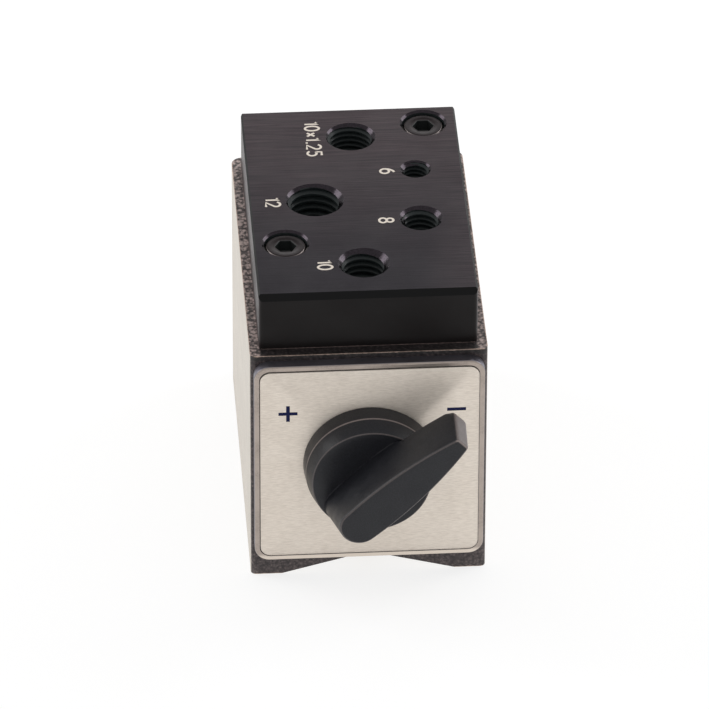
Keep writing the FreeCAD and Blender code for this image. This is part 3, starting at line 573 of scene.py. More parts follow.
class Sheet:
    """A material under construction, with its own Principled shader and coordinates in millimetres."""

    def __init__(self, name: str) -> None:
        """Start the material's nodes.

        Args:
            name: The material's name.
        """
        self.material = bpy.data.materials.new(name)
        self.material.use_nodes = True
        self.tree = self.material.node_tree
        self.shader = self.tree.nodes["Principled BSDF"]
        where = self.tree.nodes.new("ShaderNodeTexCoord")
        self.normal = where.outputs["Normal"]
        scaling = {"Vector": where.outputs["Object"], "Scale": (1 / MM, 1 / MM, 1 / MM)}
        self.place = add_node(self.tree, "ShaderNodeMapping", scaling).outputs[0]

    def effect(self, group: bpy.types.NodeTree, **inputs: Any) -> Any:
        """Place a shared effect with its own values and give its output."""
        return add_node(self.tree, "ShaderNodeGroup", {"Vector": self.place, **inputs}, node_tree=group).outputs[0]

    def parts(self, vector: Any) -> list[Any]:
        """Give the outputs for a vector's X, Y and Z."""
        return list(add_node(self.tree, "ShaderNodeSeparateXYZ", {0: vector}).outputs)

    def maths(self, operation: str, *values: Any) -> Any:
        """Add an operation on numbers and give its output."""
        return add_maths(self.tree, operation, *values)

    def ramp(self, value: Any, low: Any, high: Any, first: Any = 0.0, last: Any = 1.0, smooth: bool = False) -> Any:
        """Add a ramp and give its output."""
        return add_ramp(self.tree, value, low, high, first, last, smooth)

    def between(self, share: Any, first: Any, second: Any) -> Any:
        """Mix two numbers by a share and give the output."""
        return self.ramp(share, 0.0, 1.0, first, second)

    def blend(self, share: Any, first: Any, second: Any) -> Any:
        """Mix two colours by a share.

        Args:
            share: How much of the second colour there is.
            first: A colour, or the output of a node.
            second: The other.

        Returns:
            The mix's output.
        """
        colours = {
            name: value if isinstance(value, bpy.types.NodeSocket) else (*value, 1.0)
            for name, value in ((6, first), (7, second))
        }
        return add_node(self.tree, "ShaderNodeMix", {0: share, **colours}, data_type="RGBA").outputs[2]

    def finish(self, feeds: Inputs, height: Any = None, depth: float = 0.02) -> bpy.types.Material:
        """Feed the shader.

        Args:
            feeds: A value or an output for each of the shader's inputs.
            height: The output that raises the surface.
            depth: How far a height of 1 stands above a height of 0, in millimetres.

        Returns:
            The finished material.
        """
        for name, value in feeds.items():
            socket = self.shader.inputs[name]
            if isinstance(value, bpy.types.NodeSocket):
                self.tree.links.new(value, socket)
            else:
                socket.default_value = (*value, 1.0) if isinstance(value, tuple) else value
        if height is not None:
            raised = {"Height": height, "Distance": depth * MM, "Strength": 1.0}
            bump = add_node(self.tree, "ShaderNodeBump", raised)
            self.tree.links.new(bump.outputs[0], self.shader.inputs["Normal"])
        return self.material


@dataclass(frozen=True)
class WorkedMetal:
    """A metal with the fine lines of its last working."""

    name: str
    colour: Colour
    shade: Colour
    working: Working = Working.BACKWARD
    roughness: float = 0.35
    spread: float = 0.12
    depth: float = 0.01
    metallic: float = 1.0
    # A paler tone on sloping faces: a painted highlight along bevels.
    bevel: Colour | None = None
    smudge_size: float = 9.0

    def build(self) -> bpy.types.Material:
        """Mix two tones by the lines, a third in on bevels as a painted highlight, and two roughnesses by handling.

        Returns:
            The material.
        """
        sheet = Sheet(self.name)
        lines = sheet.effect(LINES, Stretch=self.working.value)
        smudge = sheet.effect(SMUDGE, Size=self.smudge_size)
        colour = sheet.blend(lines, self.shade, self.colour)
        if self.bevel is not None:
            # Painted highlight: bevels take the paler tone.
            colour = sheet.blend(sheet.effect(SLOPE, Vector=sheet.normal), colour, self.bevel)
        feeds = {
            "Base Color": colour,
            "Roughness": sheet.between(smudge, self.roughness, self.roughness + self.spread),
            "Metallic": self.metallic,
        }
        return sheet.finish(feeds, lines, self.depth)


@dataclass(frozen=True)
class GrainyCoat:
    """An ink, a blackened bore or a ceramic, with a fine grain."""

    name: str
    colour: Colour
    fleck: Colour
    size: float = 0.3
    roughness: float = 0.5
    spread: float = 0.1
    depth: float = 0.004
    specular: float = 0.5

    def build(self) -> bpy.types.Material:
        """Mix two tones and two roughnesses by the grain, which also stands up a little.

        Returns:
            The material.
        """
        sheet = Sheet(self.name)
        grain = sheet.effect(GRAIN, Size=self.size)
        feeds = {
            "Base Color": sheet.blend(grain, self.colour, self.fleck),
            "Roughness": sheet.between(grain, self.roughness, self.roughness + self.spread),
            "Specular IOR Level": self.specular,
        }
        return sheet.finish(feeds, grain, self.depth)


@dataclass(frozen=True)
class MouldedPlastic:
    """Black plastic with a fine grain, pale where the mesh's own attribute says so: rubbing, and a painted highlight
    on rims and edges.
    """

    name: str = "moulded_black_plastic"
    colour: Colour = srgb(27, 28, 32)
    fleck: Colour = srgb(47, 47, 54)
    # The pale tone is rubbing, and it also paints the highlight along rims and edges.
    rubbed_and_highlit: Colour = srgb(206, 189, 184)
    attribute: str = "rubbed_and_highlit"
    kept: float = 0.65
    grain_size: float = 0.3
    smudge_size: float = 5.0
    roughness: float = 0.34
    spread: float = 0.12
    depth: float = 0.012
    specular: float = 0.36

    def build(self) -> bpy.types.Material:
        """Mix the tones by grain and by the pale share of rubbing and painted highlight, and two roughnesses by
        handling.

        Between the grains only the kept share of the rubbing shows.

        Returns:
            The material.
        """
        sheet = Sheet(self.name)
        grain = sheet.effect(GRAIN, Size=self.grain_size)
        smudge = sheet.effect(SMUDGE, Size=self.smudge_size)
        # The attribute's share is rubbing and a painted highlight.
        rubbed_and_highlit = add_node(sheet.tree, "ShaderNodeAttribute", attribute_name=self.attribute).outputs["Fac"]
        broken = sheet.maths("MULTIPLY", rubbed_and_highlit, sheet.between(grain, self.kept, 1.0))
        feeds = {
            "Base Color": sheet.blend(broken, sheet.blend(grain, self.colour, self.fleck), self.rubbed_and_highlit),
            "Roughness": sheet.between(smudge, self.roughness, self.roughness + self.spread),
            "Specular IOR Level": self.specular,
        }
        return sheet.finish(feeds, grain, self.depth)


@dataclass(frozen=True)
class BlackenedPlate:
    """A ground and blackened plate, worn along its edges; the pale worn line also paints the edges' highlight.

    Its face is paler toward the back and the right, a painted sheen; its bevel is dark, a painted shade;
    and its sides are paler and browner than its front, a painted reflection. Spans are shares of a
    normal's part.
    """

    name: str = "blackened_plate"
    colour: Colour = srgb(27, 19, 31)
    shade: Colour = srgb(17, 11, 20)
    # Pale tone of the face toward the back and right: a painted sheen.
    back: Colour = srgb(80, 66, 70)
    # Front and side tones: the paler sides are a painted reflection.
    front: Colour = srgb(27, 24, 24)
    side: Colour = srgb(70, 61, 62)
    side_shade: Colour = srgb(34, 30, 31)
    # Dark bevel tone: painted shade.
    bevel: Colour = srgb(14, 14, 15)
    # Worn edge tone: wear, which also paints the edges' highlight.
    worn: Colour = srgb(128, 112, 108)
    roughness: float = 0.3
    spread: float = 0.14
    depth: float = 0.01
    specular: float = 0.16
    right_sheen_start: float = 8.0
    right_sheen_share: float = 0.6
    level_span: tuple[float, float] = (0.8, 0.95)
    side_span: tuple[float, float] = (0.6, 0.9)
    smudge_size: float = 12.0
    wear_width: float = 0.2
    ragged: float = 0.25

    def build(self) -> bpy.types.Material:
        """Mix the tones by lines, place, the way a face looks and wear, and two roughnesses by handling.

        Place paints a sheen; the way a face looks paints shade on the bevel and a reflection on the sides.

        Returns:
            The material.
        """
        sheet = Sheet(self.name)
        low, high = box_mm("top_plate")
        lines = sheet.effect(LINES, Stretch=Working.ACROSS.value)
        smudge = sheet.effect(SMUDGE, Size=self.smudge_size)
        slope = sheet.effect(SLOPE, Vector=sheet.normal)
        wear = sheet.effect(WEAR, Low=tuple(low), High=tuple(high), Width=self.wear_width, Ragged=self.ragged)
        across, along, _ = sheet.parts(sheet.place)
        # Painted sheen: the face turns paler toward the back and the right.
        behind = sheet.ramp(along, low[1], high[1], smooth=True)
        aside = sheet.ramp(across, self.right_sheen_start, high[0], 0.0, self.right_sheen_share, smooth=True)
        pale = sheet.maths("MAXIMUM", behind, aside)
        face = sheet.blend(lines, self.shade, sheet.blend(pale, self.colour, self.back))
        sideways, _, upward = sheet.parts(sheet.normal)
        # Painted reflection: sides take the paler side tones, the front its own.
        is_side = sheet.ramp(sheet.maths("ABSOLUTE", sideways), *self.side_span)
        side = sheet.blend(lines, self.side_shade, self.side)
        tone = sheet.blend(sheet.ramp(upward, *self.level_span), sheet.blend(is_side, self.front, side), face)
        feeds = {
            # Painted shade darkens the bevel; the worn edges' pale line also paints their highlight.
            "Base Color": sheet.blend(wear, sheet.blend(slope, tone, self.bevel), self.worn),
            "Roughness": sheet.between(smudge, self.roughness, self.roughness + self.spread),
            "Specular IOR Level": self.specular,
        }
        return sheet.finish(feeds, lines, self.depth)


@dataclass(frozen=True)
class CastCover:
    """A cast cover: a worn outer face that is dulled in blotches, a pale foot, dark sides, and a recess painted black
    as shade.

    Spans of the way a face looks are shares of its normal's backward part; the others are in
    millimetres behind the front cover's face and above its lower edge.
    """

    name: str = "cast_cover"
    face: Colour = srgb(180, 168, 159)
    dulled: Colour = srgb(136, 126, 119)
    foot: Colour = srgb(226, 214, 201)
    side: Colour = srgb(124, 121, 130)
    # Black recess tone: painted shade in the label's recess.
    recess: Colour = srgb(14, 13, 14)
    grain_size: float = 0.35
    smudge_size: float = 6.0
    flat_span: tuple[float, float] = (0.3, 0.7)
    forward_span: tuple[float, float] = (-0.85, -0.95)
    recess_shade_span: tuple[float, float] = (0.2, 0.3)
    foot_span: tuple[float, float] = (1.7, 0.9)
    roughness: float = 0.3
    spread: float = 0.12
    depth: float = 0.01
    metallic: float = 0.9

    def build(self) -> bpy.types.Material:
        """Choose the tone by the way a face looks, its height, and its depth behind the front cover's face.

        Returns:
            The material.
        """
        sheet = Sheet(self.name)
        _, front, bottom = box_mm("front_cover")[0]
        grain = sheet.effect(GRAIN, Size=self.grain_size)
        smudge = sheet.effect(SMUDGE, Size=self.smudge_size)
        backward = sheet.parts(sheet.normal)[1]
        flat = sheet.ramp(sheet.maths("ABSOLUTE", backward), *self.flat_span)
        forward = sheet.ramp(backward, *self.forward_span)
        _, along, up = sheet.parts(sheet.place)
        sunk = sheet.ramp(along, *(front + deep for deep in self.recess_shade_span))
        low = sheet.ramp(up, *(bottom + high for high in self.foot_span))
        face = sheet.blend(sheet.maths("MULTIPLY", smudge, grain), self.face, self.dulled)
        tone = sheet.blend(flat, self.side, sheet.blend(low, face, self.foot))
        feeds = {
            # Painted shade: faces sunk behind the front cover's face and looking forward turn black.
            "Base Color": sheet.blend(sheet.maths("MULTIPLY", forward, sunk), tone, self.recess),
            "Roughness": sheet.between(smudge, self.roughness, self.roughness + self.spread),
            "Metallic": self.metallic,
        }
        return sheet.finish(feeds, grain, self.depth)


@dataclass(frozen=True)
class PaintedBlock:
    """Steel blocks with rough paint on top, front and back, and bare ground sides and soles.

    The paint is darker round the blocks' top edge, a painted shade near the plate, and paler near the
    foot. It is paler on the ledges beside the plate too, where its coarse flecks are worn paint and its
    paler tone is painted light on these level faces. Bands and the foot's span are heights in
    millimetres. The spans of side, sole and level are shares of a normal's part.
    """

    name: str = "painted_ground_steel"
    paint: Colour = srgb(34, 28, 29)
    fleck: Colour = srgb(124, 109, 108)
    # Darker tones round the top edge: painted shade near the plate.
    shaded_top_paint: Colour = srgb(20, 17, 18)
    shaded_top_fleck: Colour = srgb(78, 70, 69)
    # Paler tones on the ledges beside the plate: worn flecks, and painted light on these level faces.
    lit_ledge_paint: Colour = srgb(60, 51, 50)
    lit_ledge_fleck: Colour = srgb(192, 172, 166)
    foot_paint: Colour = srgb(54, 47, 48)
    foot_fleck: Colour = srgb(150, 136, 134)
    foot_span: tuple[float, float] = (9.0, 3.0)
    top_shade_band: float = 1.6
    top_shade_fade: float = 0.6
    ledge_fade: float = 0.4
    steel: Colour = srgb(232, 224, 211)
    steel_shade: Colour = srgb(176, 167, 156)
    worn: Colour = srgb(196, 174, 160)
    handled: float = 0.85
    side_span: tuple[float, float] = (0.9, 0.94)
    sole_span: tuple[float, float] = (-0.3, -0.5)
    level_span: tuple[float, float] = (0.5, 0.8)
    rubbed_and_highlit_span: tuple[float, float] = (0.08, 0.45)
    grain_size: float = 0.7
    ledge_grain: float = 0.9
    smudge_size: float = 7.0
    wear_width: float = 0.24
    ragged: float = 0.36
    paint_roughness: float = 0.5
    steel_roughness: float = 0.38
    depth: float = 0.08
    line_share: float = 0.1

    def build(self) -> bpy.types.Material:
        """Choose paint or steel by the way a face looks and by the worn edges of the whole block.

        Returns:
            The material.
        """
        sheet = Sheet(self.name)
        left, right = box_mm("left_pole_block"), box_mm("right_pole_block")
        wear = sheet.effect(WEAR, Low=tuple(left[0]), High=tuple(right[1]), Width=self.wear_width, Ragged=self.ragged)
        grain = sheet.effect(GRAIN, Size=self.grain_size)
        lines = sheet.effect(LINES, Stretch=Working.BACKWARD.value)
        smudge = sheet.effect(SMUDGE, Size=self.smudge_size)
        sideways, _, upward = sheet.parts(sheet.normal)
        side = sheet.ramp(sheet.maths("ABSOLUTE", sideways), *self.side_span)
        ground = sheet.maths("MAXIMUM", side, sheet.ramp(upward, *self.sole_span))
        bare = sheet.maths("MAXIMUM", ground, wear)
        dim_lines = sheet.between(smudge, lines, sheet.maths("MULTIPLY", lines, self.handled))
        metal = sheet.blend(ground, self.worn, sheet.blend(dim_lines, self.steel_shade, self.steel))
        across, _, up = sheet.parts(sheet.place)
        # Painted shade: the paint darkens over the top band, next to the plate.
        band = right[1][2] - self.top_shade_band
        upper = sheet.ramp(up, band, band + self.top_shade_fade)
        lower = sheet.ramp(up, *self.foot_span)
        paint = sheet.blend(upper, sheet.blend(lower, self.paint, self.foot_paint), self.shaded_top_paint)
        fleck = sheet.blend(upper, sheet.blend(lower, self.fleck, self.foot_fleck), self.shaded_top_fleck)
        # Painted light: level ledges beside the plate get a paler coat, with worn flecks in it.
        plate_side = box_mm("top_plate")[1][0]
        beside = sheet.ramp(sheet.maths("ABSOLUTE", across), plate_side - self.ledge_fade, plate_side)
        ledge = sheet.maths("MULTIPLY", beside, sheet.ramp(upward, *self.level_span))
        rubbed_and_highlit = sheet.ramp(sheet.effect(GRAIN, Size=self.ledge_grain), *self.rubbed_and_highlit_span)
        lit_ledge_coat = sheet.blend(rubbed_and_highlit, self.lit_ledge_paint, self.lit_ledge_fleck)
        coat = sheet.blend(ledge, sheet.blend(grain, paint, fleck), lit_ledge_coat)
        feeds = {
            "Base Color": sheet.blend(bare, coat, metal),
            "Roughness": sheet.between(bare, self.paint_roughness, self.steel_roughness),
            "Metallic": bare,
        }
        height = sheet.between(bare, grain, sheet.maths("MULTIPLY", lines, self.line_share))
        return sheet.finish(feeds, height, self.depth)


@dataclass(frozen=True)
class Thread:
    """One threaded hole of the plate: its mount, nominal width and pitch in millimetres, and printed mark."""

    mount: str
    nominal: float
    pitch: float
    mark: str


@dataclass
class TopPlate:
    """The black plate: threaded holes, counterbores for its screws, and a bevel along its front.

    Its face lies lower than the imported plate's by the thickness of the ink on it.
    """

    ink: float = 0.03
    front_chamfer: float = 1.2
    edge: float = 0.4
    corner: float = 1.0
    recess_radius: float = 5.05
    recess_bevel: float = 0.45
    shank_hole: float = 2.75
    screw_seat: float = 7.2
    mark_gap: float = 2.75
    mark_shift: float = 0.5
    near: float = 0.01
    near_slope: float = 0.05
    columns: int = 96
    per_corner: int = 9
    thread_rows: tuple[float, ...] = (0.0, 0.125, 0.25, 0.41, 0.5625, 0.625, 0.6875, 0.84)
    groove: tuple[Span, ...] = ((0.0, 0.0), (0.25, 0.0), (0.5625, 1.0), (0.6875, 1.0), (1.0, 0.0))
    threads: tuple[Thread, ...] = (
        Thread("post_hole_12", 12.0, 1.75, "12"),
        Thread("post_hole_10", 10.0, 1.5, "10"),
        Thread("post_hole_10_fine", 10.0, 1.25, "10x1.25"),
        Thread("post_hole_8", 8.0, 1.25, "8"),
        Thread("post_hole_6", 6.0, 1.0, "6"),
    )

    def __post_init__(self) -> None:
        """Read the plate's box and its mounts."""
        self.low, self.high = box_mm("top_plate")
        self.high[2] -= self.ink
        self.mounts = {mount["name"]: mount for mount in frame["record"]["mounts"]}

    def hole(self, thread: Thread) -> tuple[np.ndarray, float, float]:
        """Measure a threaded hole.

        The bore's length ends where the countersink starts, and the countersink slopes at 45 degrees.

        Args:
            thread: The hole.

        Returns:
            Its centre, the radius of its bore and the radius of its countersunk mouth.
        """
        mount = self.mounts[thread.mount]
        centre = np.array(mount["pos_m"][:2]) / MM
        bore = mount["dims"]["r_mm"]
        return centre, bore, bore + self.high[2] - self.low[2] - mount["dims"]["length_mm"]

    def thread_wall(self, thread: Thread) -> Shell:
        """Work out the wall of one threaded hole.

        Rows follow the helix: height is pitch times (row share plus angle over a full turn). The
        radius is the bore's plus the groove's depth times a flat-topped wave of the height, and at
        least the countersink's, which is the mouth's radius less the depth below the plate's face.

        Args:
            thread: The hole.

        Returns:
            An open tube from the plate's underside to its face.
        """
        centre, bore, mouth = self.hole(thread)
        angle = np.linspace(0.0, 2.0 * np.pi, self.columns + 1)
        turns = np.arange(-1, math.ceil((self.high[2] - self.low[2]) / thread.pitch) + 1)
        share = (turns[:, None] + np.array(self.thread_rows)).ravel()[:, None] + angle / (2.0 * np.pi)
        height = np.clip(self.low[2] + share * thread.pitch, self.low[2], self.high[2])
        phase = ((height - self.low[2]) / thread.pitch - angle / (2.0 * np.pi)) % 1.0
        wave = np.interp(phase, *np.array(self.groove).T)
        radius = bore + (thread.nominal / 2.0 - bore) * wave
        radius = np.maximum(radius, mouth - (self.high[2] - height))
        radius = np.where(height <= self.low[2], bore, radius)
        points = np.stack([radius * np.cos(angle), radius * np.sin(angle), height], axis=-1)
        return grid_shell(points, wrap=False).moved(np.array([*centre, 0.0]))

    def screw_recess(self, node: str) -> Shell:
        """Turn the counterbored hole of one cap screw about the screw's own middle.

        Args:
            node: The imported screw.

        Returns:
            An open tube from the plate's underside to its face.
        """
        seat = self.low[2] + self.screw_seat
        wall = self.recess_radius - self.recess_bevel
        profile = [
            (self.shank_hole, self.low[2]),
            (self.shank_hole, seat),
            (wall, seat),
            (wall, self.high[2] - self.recess_bevel),
            (self.recess_radius, self.high[2]),
        ]
        return grid_shell(turned(profile, self.columns)).moved(np.array([*middle_mm(node), 0.0]))

    def outline(self) -> np.ndarray:
        """Give the plate's outline seen from above."""
        middle, half = (self.low + self.high)[:2] / 2.0, (self.high - self.low)[:2] / 2.0
        return rounded_rectangle(*half, self.corner, self.per_corner) + middle

    def build(self) -> Shell:
        """Work out the whole plate.

        The walls rise to the bevels, whose planes slope at 45 degrees: a wall point's height is the
        face's less its bevel's size plus its distance from that edge. The face's own edge is the
        outline held inside the rectangle that the bevels leave.

        Returns:
            A closed shell.
        """
        outline = self.outline()
        inner_low = self.low[:2] + np.array([self.edge, self.front_chamfer])
        inner_high = self.high[:2] - self.edge
        past = np.column_stack([inner_low - outline, outline - inner_high])
        drop = np.maximum(past.max(axis=1), 0.0)
        face_edge = np.clip(outline, inner_low, inner_high)
        level = np.full(len(outline), 1.0)
        rings = np.stack([
            np.column_stack([outline, level * self.low[2]]),
            np.column_stack([outline, self.high[2] - drop]),
            np.column_stack([face_edge, level * self.high[2]]),
        ])
        walls = grid_shell(rings)
        mouths = [circle(mouth, self.columns) + centre for centre, _, mouth, _ in self.holes()]
        bores = [circle(bore, self.columns) + centre for centre, bore, _, _ in self.holes()]
        keep = np.any(np.abs(face_edge - np.roll(face_edge, 1, axis=0)) > TINY, axis=1)
        return walls.joined(
            filled(face_edge[keep], mouths, self.high[2]),
            filled(outline, bores, self.low[2]),
            *[self.thread_wall(thread) for thread in self.threads],
            *[self.screw_recess(node) for node in CAP_SCREWS],
        )

    def holes(self) -> list[tuple[np.ndarray, float, float, float]]:
        """List the threaded holes, then the screws' recesses.

        Returns:
            Each one's centre, the radius of its bore, the radius of its mouth and the depth of its bevel.
        """
        holes = [(centre, bore, mouth, mouth - bore) for centre, bore, mouth in map(self.hole, self.threads)]
        recess = self.shank_hole, self.recess_radius, self.recess_bevel
        return holes + [(middle_mm(node), *recess) for node in CAP_SCREWS]

    def in_holes(self, points: np.ndarray) -> np.ndarray:
        """Tell which points lie in a threaded hole or a screw's recess: below the face and near its axis.

        Args:
            points: Points in millimetres.

        Returns:
            Yes or no for each.
        """
        inside_mouth = [
            np.linalg.norm(points[:, :2] - centre, axis=1) < mouth + self.near for centre, _, mouth, _ in self.holes()
        ]
        return np.any(inside_mouth, axis=0) & (points[:, 2] < self.high[2] - self.near)

    def in_mouths(self, points: np.ndarray) -> np.ndarray:
        """Tell which points lie on a mouth's bevel.

        Such a point is as far inside the mouth's edge as it is below the face.

        Args:
            points: Points in millimetres.

        Returns:
            Yes or no for each.
        """
        sunk = self.high[2] - points[:, 2]
        on_slope = []
        for centre, _, mouth, deep in self.holes():
            inward = mouth - np.linalg.norm(points[:, :2] - centre, axis=1)
            on_slope.append((np.abs(inward - sunk) < self.near_slope) & (sunk < deep))
        return np.any(on_slope, axis=0) & self.in_holes(points)

    def marks(self) -> list["Mark"]:
        """List the size marks.

        Returns:
            A mark left of each hole, read from the right, with its signs' tops toward the hole.
        """
        axes = np.array([[0.0, -1.0, 0.0], [1.0, 0.0, 0.0], [0.0, 0.0, 1.0]])
        marks = []
        for thread in self.threads:
            centre, _, mouth = self.hole(thread)
            spot = np.array([centre[0] - mouth - self.mark_gap, centre[1] - self.mark_shift, self.high[2]])
            name = thread.mount.replace("post_hole", "size_mark")
            marks.append(Mark(name, thread.mark, spot, axes))
        return marks


def arc(
    across: float, up: float, wide: float, high: float, start: float, end: float, step: float = 12.0
) -> np.ndarray:
    """Give points along part of an ellipse.

    Args:
        across: Centre, across.
        up: Centre, up.
        wide: Half width.
        high: Half height.
        start: Angle of the first point in degrees.
        end: Angle of the last point in degrees.
        step: Degrees from point to point.

    Returns:
        Centre plus half width times cosine and half height times sine.
    """
    angle = np.radians(np.linspace(start, end, max(3, int(abs(end - start) / step) + 1)))
    return np.stack([across + wide * np.cos(angle), up + high * np.sin(angle)], axis=-1)


def glyph(sign: str) -> list[np.ndarray]:
    """Give the strokes of a sign in a box one unit high.

    Args:
        sign: A digit, a point, a cross or a bar.

    Returns:
        A list of strokes, each a row of points.
    """
    strokes = {
        "0": [arc(0.3, 0.5, 0.3, 0.5, 90, 450)],
        "1": [np.array([[0.0, 0.76], [0.24, 1.0], [0.24, 0.0]])],
        "2": [np.vstack([arc(0.29, 0.72, 0.29, 0.28, 165, -35), [[0.02, 0.0], [0.6, 0.0]]])],
        "5": [np.vstack([[[0.55, 1.0], [0.1, 1.0], [0.05, 0.56]], arc(0.27, 0.32, 0.31, 0.32, 120, -150)])],
        "6": [arc(0.3, 0.31, 0.3, 0.31, 180, 540), arc(0.6, 0.31, 0.6, 0.69, 180, 105)],
        "8": [arc(0.3, 0.76, 0.25, 0.24, 270, 630), arc(0.3, 0.26, 0.3, 0.26, 90, 450)],
        "x": [np.array([[0.03, 0.1], [0.47, 0.62]]), np.array([[0.03, 0.62], [0.47, 0.1]])],
        ".": [np.array([[0.08, -0.05], [0.08, 0.1]])],
        "+": [np.array([[-0.5, 0.0], [0.5, 0.0]]), np.array([[0.0, -0.5], [0.0, 0.5]])],
        "-": [np.array([[-0.5, 0.0], [0.5, 0.0]])],
    }
    return strokes[sign]


def stroke_slab(path: np.ndarray, width: float, low: float, high: float) -> Shell:
    """Carry a flat bar's section along a path.

    Each side is the path moved by half the width along the path's normal.

    Args:
        path: Points of the stroke, two columns.
        width: Width of the bar.
        low: Height of its underside.
        high: Height of its face.

    Returns:
        A closed bar with square ends, or a ring where the path ends at its start.
    """
    ring = bool(np.allclose(path[0], path[-1]))
    heading = np.gradient(path, axis=0)
    if ring:
        heading[[0, -1]] = path[1] - path[-2]
    heading /= np.linalg.norm(heading, axis=1, keepdims=True)
    aside = np.stack([-heading[:, 1], heading[:, 0]], axis=-1) * width / 2.0
    left, right = path + aside, path - aside
    sides = [(left, high), (right, high), (right, low), (left, low)]
    rows = np.stack([np.column_stack([edge, np.full(len(edge), level)]) for edge, level in sides], axis=1)
    return grid_shell(rows, close_ends=not ring)


@dataclass
class Mark:
    """A printed mark made of strokes of one width."""

    name: str
    signs: str
    centre: np.ndarray
    axes: np.ndarray
    height: float = 3.0
    stroke: float = 0.5
    gap: float = 0.3
    narrow: float = 0.95
    proud: float = 0.03
    step: float = 0.002
    sunk: float = 0.1

    def build(self) -> Shell:
        """Set the signs in a row, centre the row and put it on its surface.

        Each stroke lies one step lower than the stroke before, so that no two faces share a plane.

        Returns:
            The bars of all signs.
        """
        bars, start = [], 0.0
        for sign in self.signs:
            strokes = [path * self.height * np.array([self.narrow, 1.0]) for path in glyph(sign)]
            right = max(path[:, 0].max() for path in strokes)
            for path in strokes:
                level = self.proud - self.step * len(bars)
                bars.append(stroke_slab(path + [start, 0.0], self.stroke, -self.sunk, level))
            start += right + self.stroke + self.gap
        shell = bars[0].joined(*bars[1:])
        box = (shell.points.min(axis=0) + shell.points.max(axis=0)) / 2.0
        flat = shell.points - [box[0], box[1], 0.0]
        return Shell(flat @ self.axes + self.centre, shell.quads, shell.triangles)


@dataclass
class CapScrew:
    """A socket cap screw with a knurled head, sunk into the plate.

    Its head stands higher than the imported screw's by `raised`. Shares are of the socket's width.
    """

    node: str
    head_height: float = 5.0
    shank_radius: float = 2.5
    hex_width: float = 4.0
    hex_depth: float = 2.6
    drill_depth: float = 0.8
    drill_tip: float = 0.02
    floor_share: float = 0.96
    floor_bevel: float = 0.15
    mouth_share: float = 1.05
    mouth_bevel: float = 0.1
    lip_gap: float = 0.35
    lip_slope: float = 0.1
    lip: float = 0.05
    raised: float = 0.4
    edge: float = 0.5
    knurl: float = 0.06
    knurl_gaps: Span = (0.15, 0.4)
    under_bevel: float = 0.2
    socket_share: float = 1.2
    socket_span: Span = (0.1, 4.0)
    teeth: int = 36
    bends: int = 6
    columns: int = 288

    def in_socket(self, points: np.ndarray) -> np.ndarray:
        """Tell which points lie in the socket, below its bevelled mouth.

        Args:
            points: Points in millimetres.

        Returns:
            Yes or no for each.
        """
        far = np.linalg.norm(points[:, :2] - middle_mm(self.node), axis=1)
        sunk = box_mm(self.node)[1][2] + self.raised - points[:, 2]
        start, end = self.socket_span
        return (far < self.hex_width / 2.0 * self.socket_share) & (sunk > start) & (sunk < end)

    def build(self) -> Shell:
        """Carry the screw's profile round its axis.

        Inside the socket the radius is half the width across flats over the cosine of the angle
        from the nearest flat. The face sinks by the lip round the socket. On the head's side the
        radius swells by the knurl times a wave.

        Returns:
            A closed shell.
        """
        low, high = box_mm(self.node)
        head = (high[0] - low[0]) / 2.0
        angle = np.arange(self.columns) * 2.0 * np.pi / self.columns
        hexagon = self.hex_width / 2.0 / np.cos(angle % (np.pi / 3.0) - np.pi / 6.0)
        round_one = np.ones(self.columns)
        ridges = 0.5 + 0.5 * np.cos(self.teeth * angle)
        top, under = high[2] + self.raised, high[2] - self.head_height
        mouth = self.hex_width / 2.0 / math.cos(math.pi / 6.0) + self.lip_gap
        curve = np.linspace(0.0, np.pi / 2.0, self.bends)
        rows = [
            (round_one * self.drill_tip, top - self.hex_depth - self.drill_depth),
            (hexagon * self.floor_share, top - self.hex_depth),
            (hexagon, top - self.hex_depth + self.floor_bevel),
            (hexagon, top - self.lip - self.mouth_bevel),
            (hexagon * self.mouth_share, top - self.lip),
            (round_one * mouth, top - self.lip),
            (round_one * (mouth + self.lip_slope), top),
        ]
        inner, level = head - self.edge, top - self.edge
        rows += [
            (round_one * (inner + self.edge * math.sin(bend)), level + self.edge * math.cos(bend)) for bend in curve
        ]
        rows += [
            (head - self.knurl * ridges, level - self.knurl_gaps[0]),
            (head - self.knurl * ridges, under + self.knurl_gaps[1]),
            (round_one * (head - self.under_bevel), under),
            (round_one * self.shank_radius, under),
            (round_one * self.shank_radius, low[2] + self.edge),
            (round_one * (self.shank_radius - self.edge), low[2]),
        ]
        radius = np.array([row[0] for row in rows])
        height = np.array([row[1] for row in rows])[:, None] + np.zeros(self.columns)
        points = np.stack([radius * np.cos(angle), radius * np.sin(angle), height], axis=-1)
        return grid_shell(points, close_ends=True).moved(np.array([*middle_mm(self.node), 0.0]))


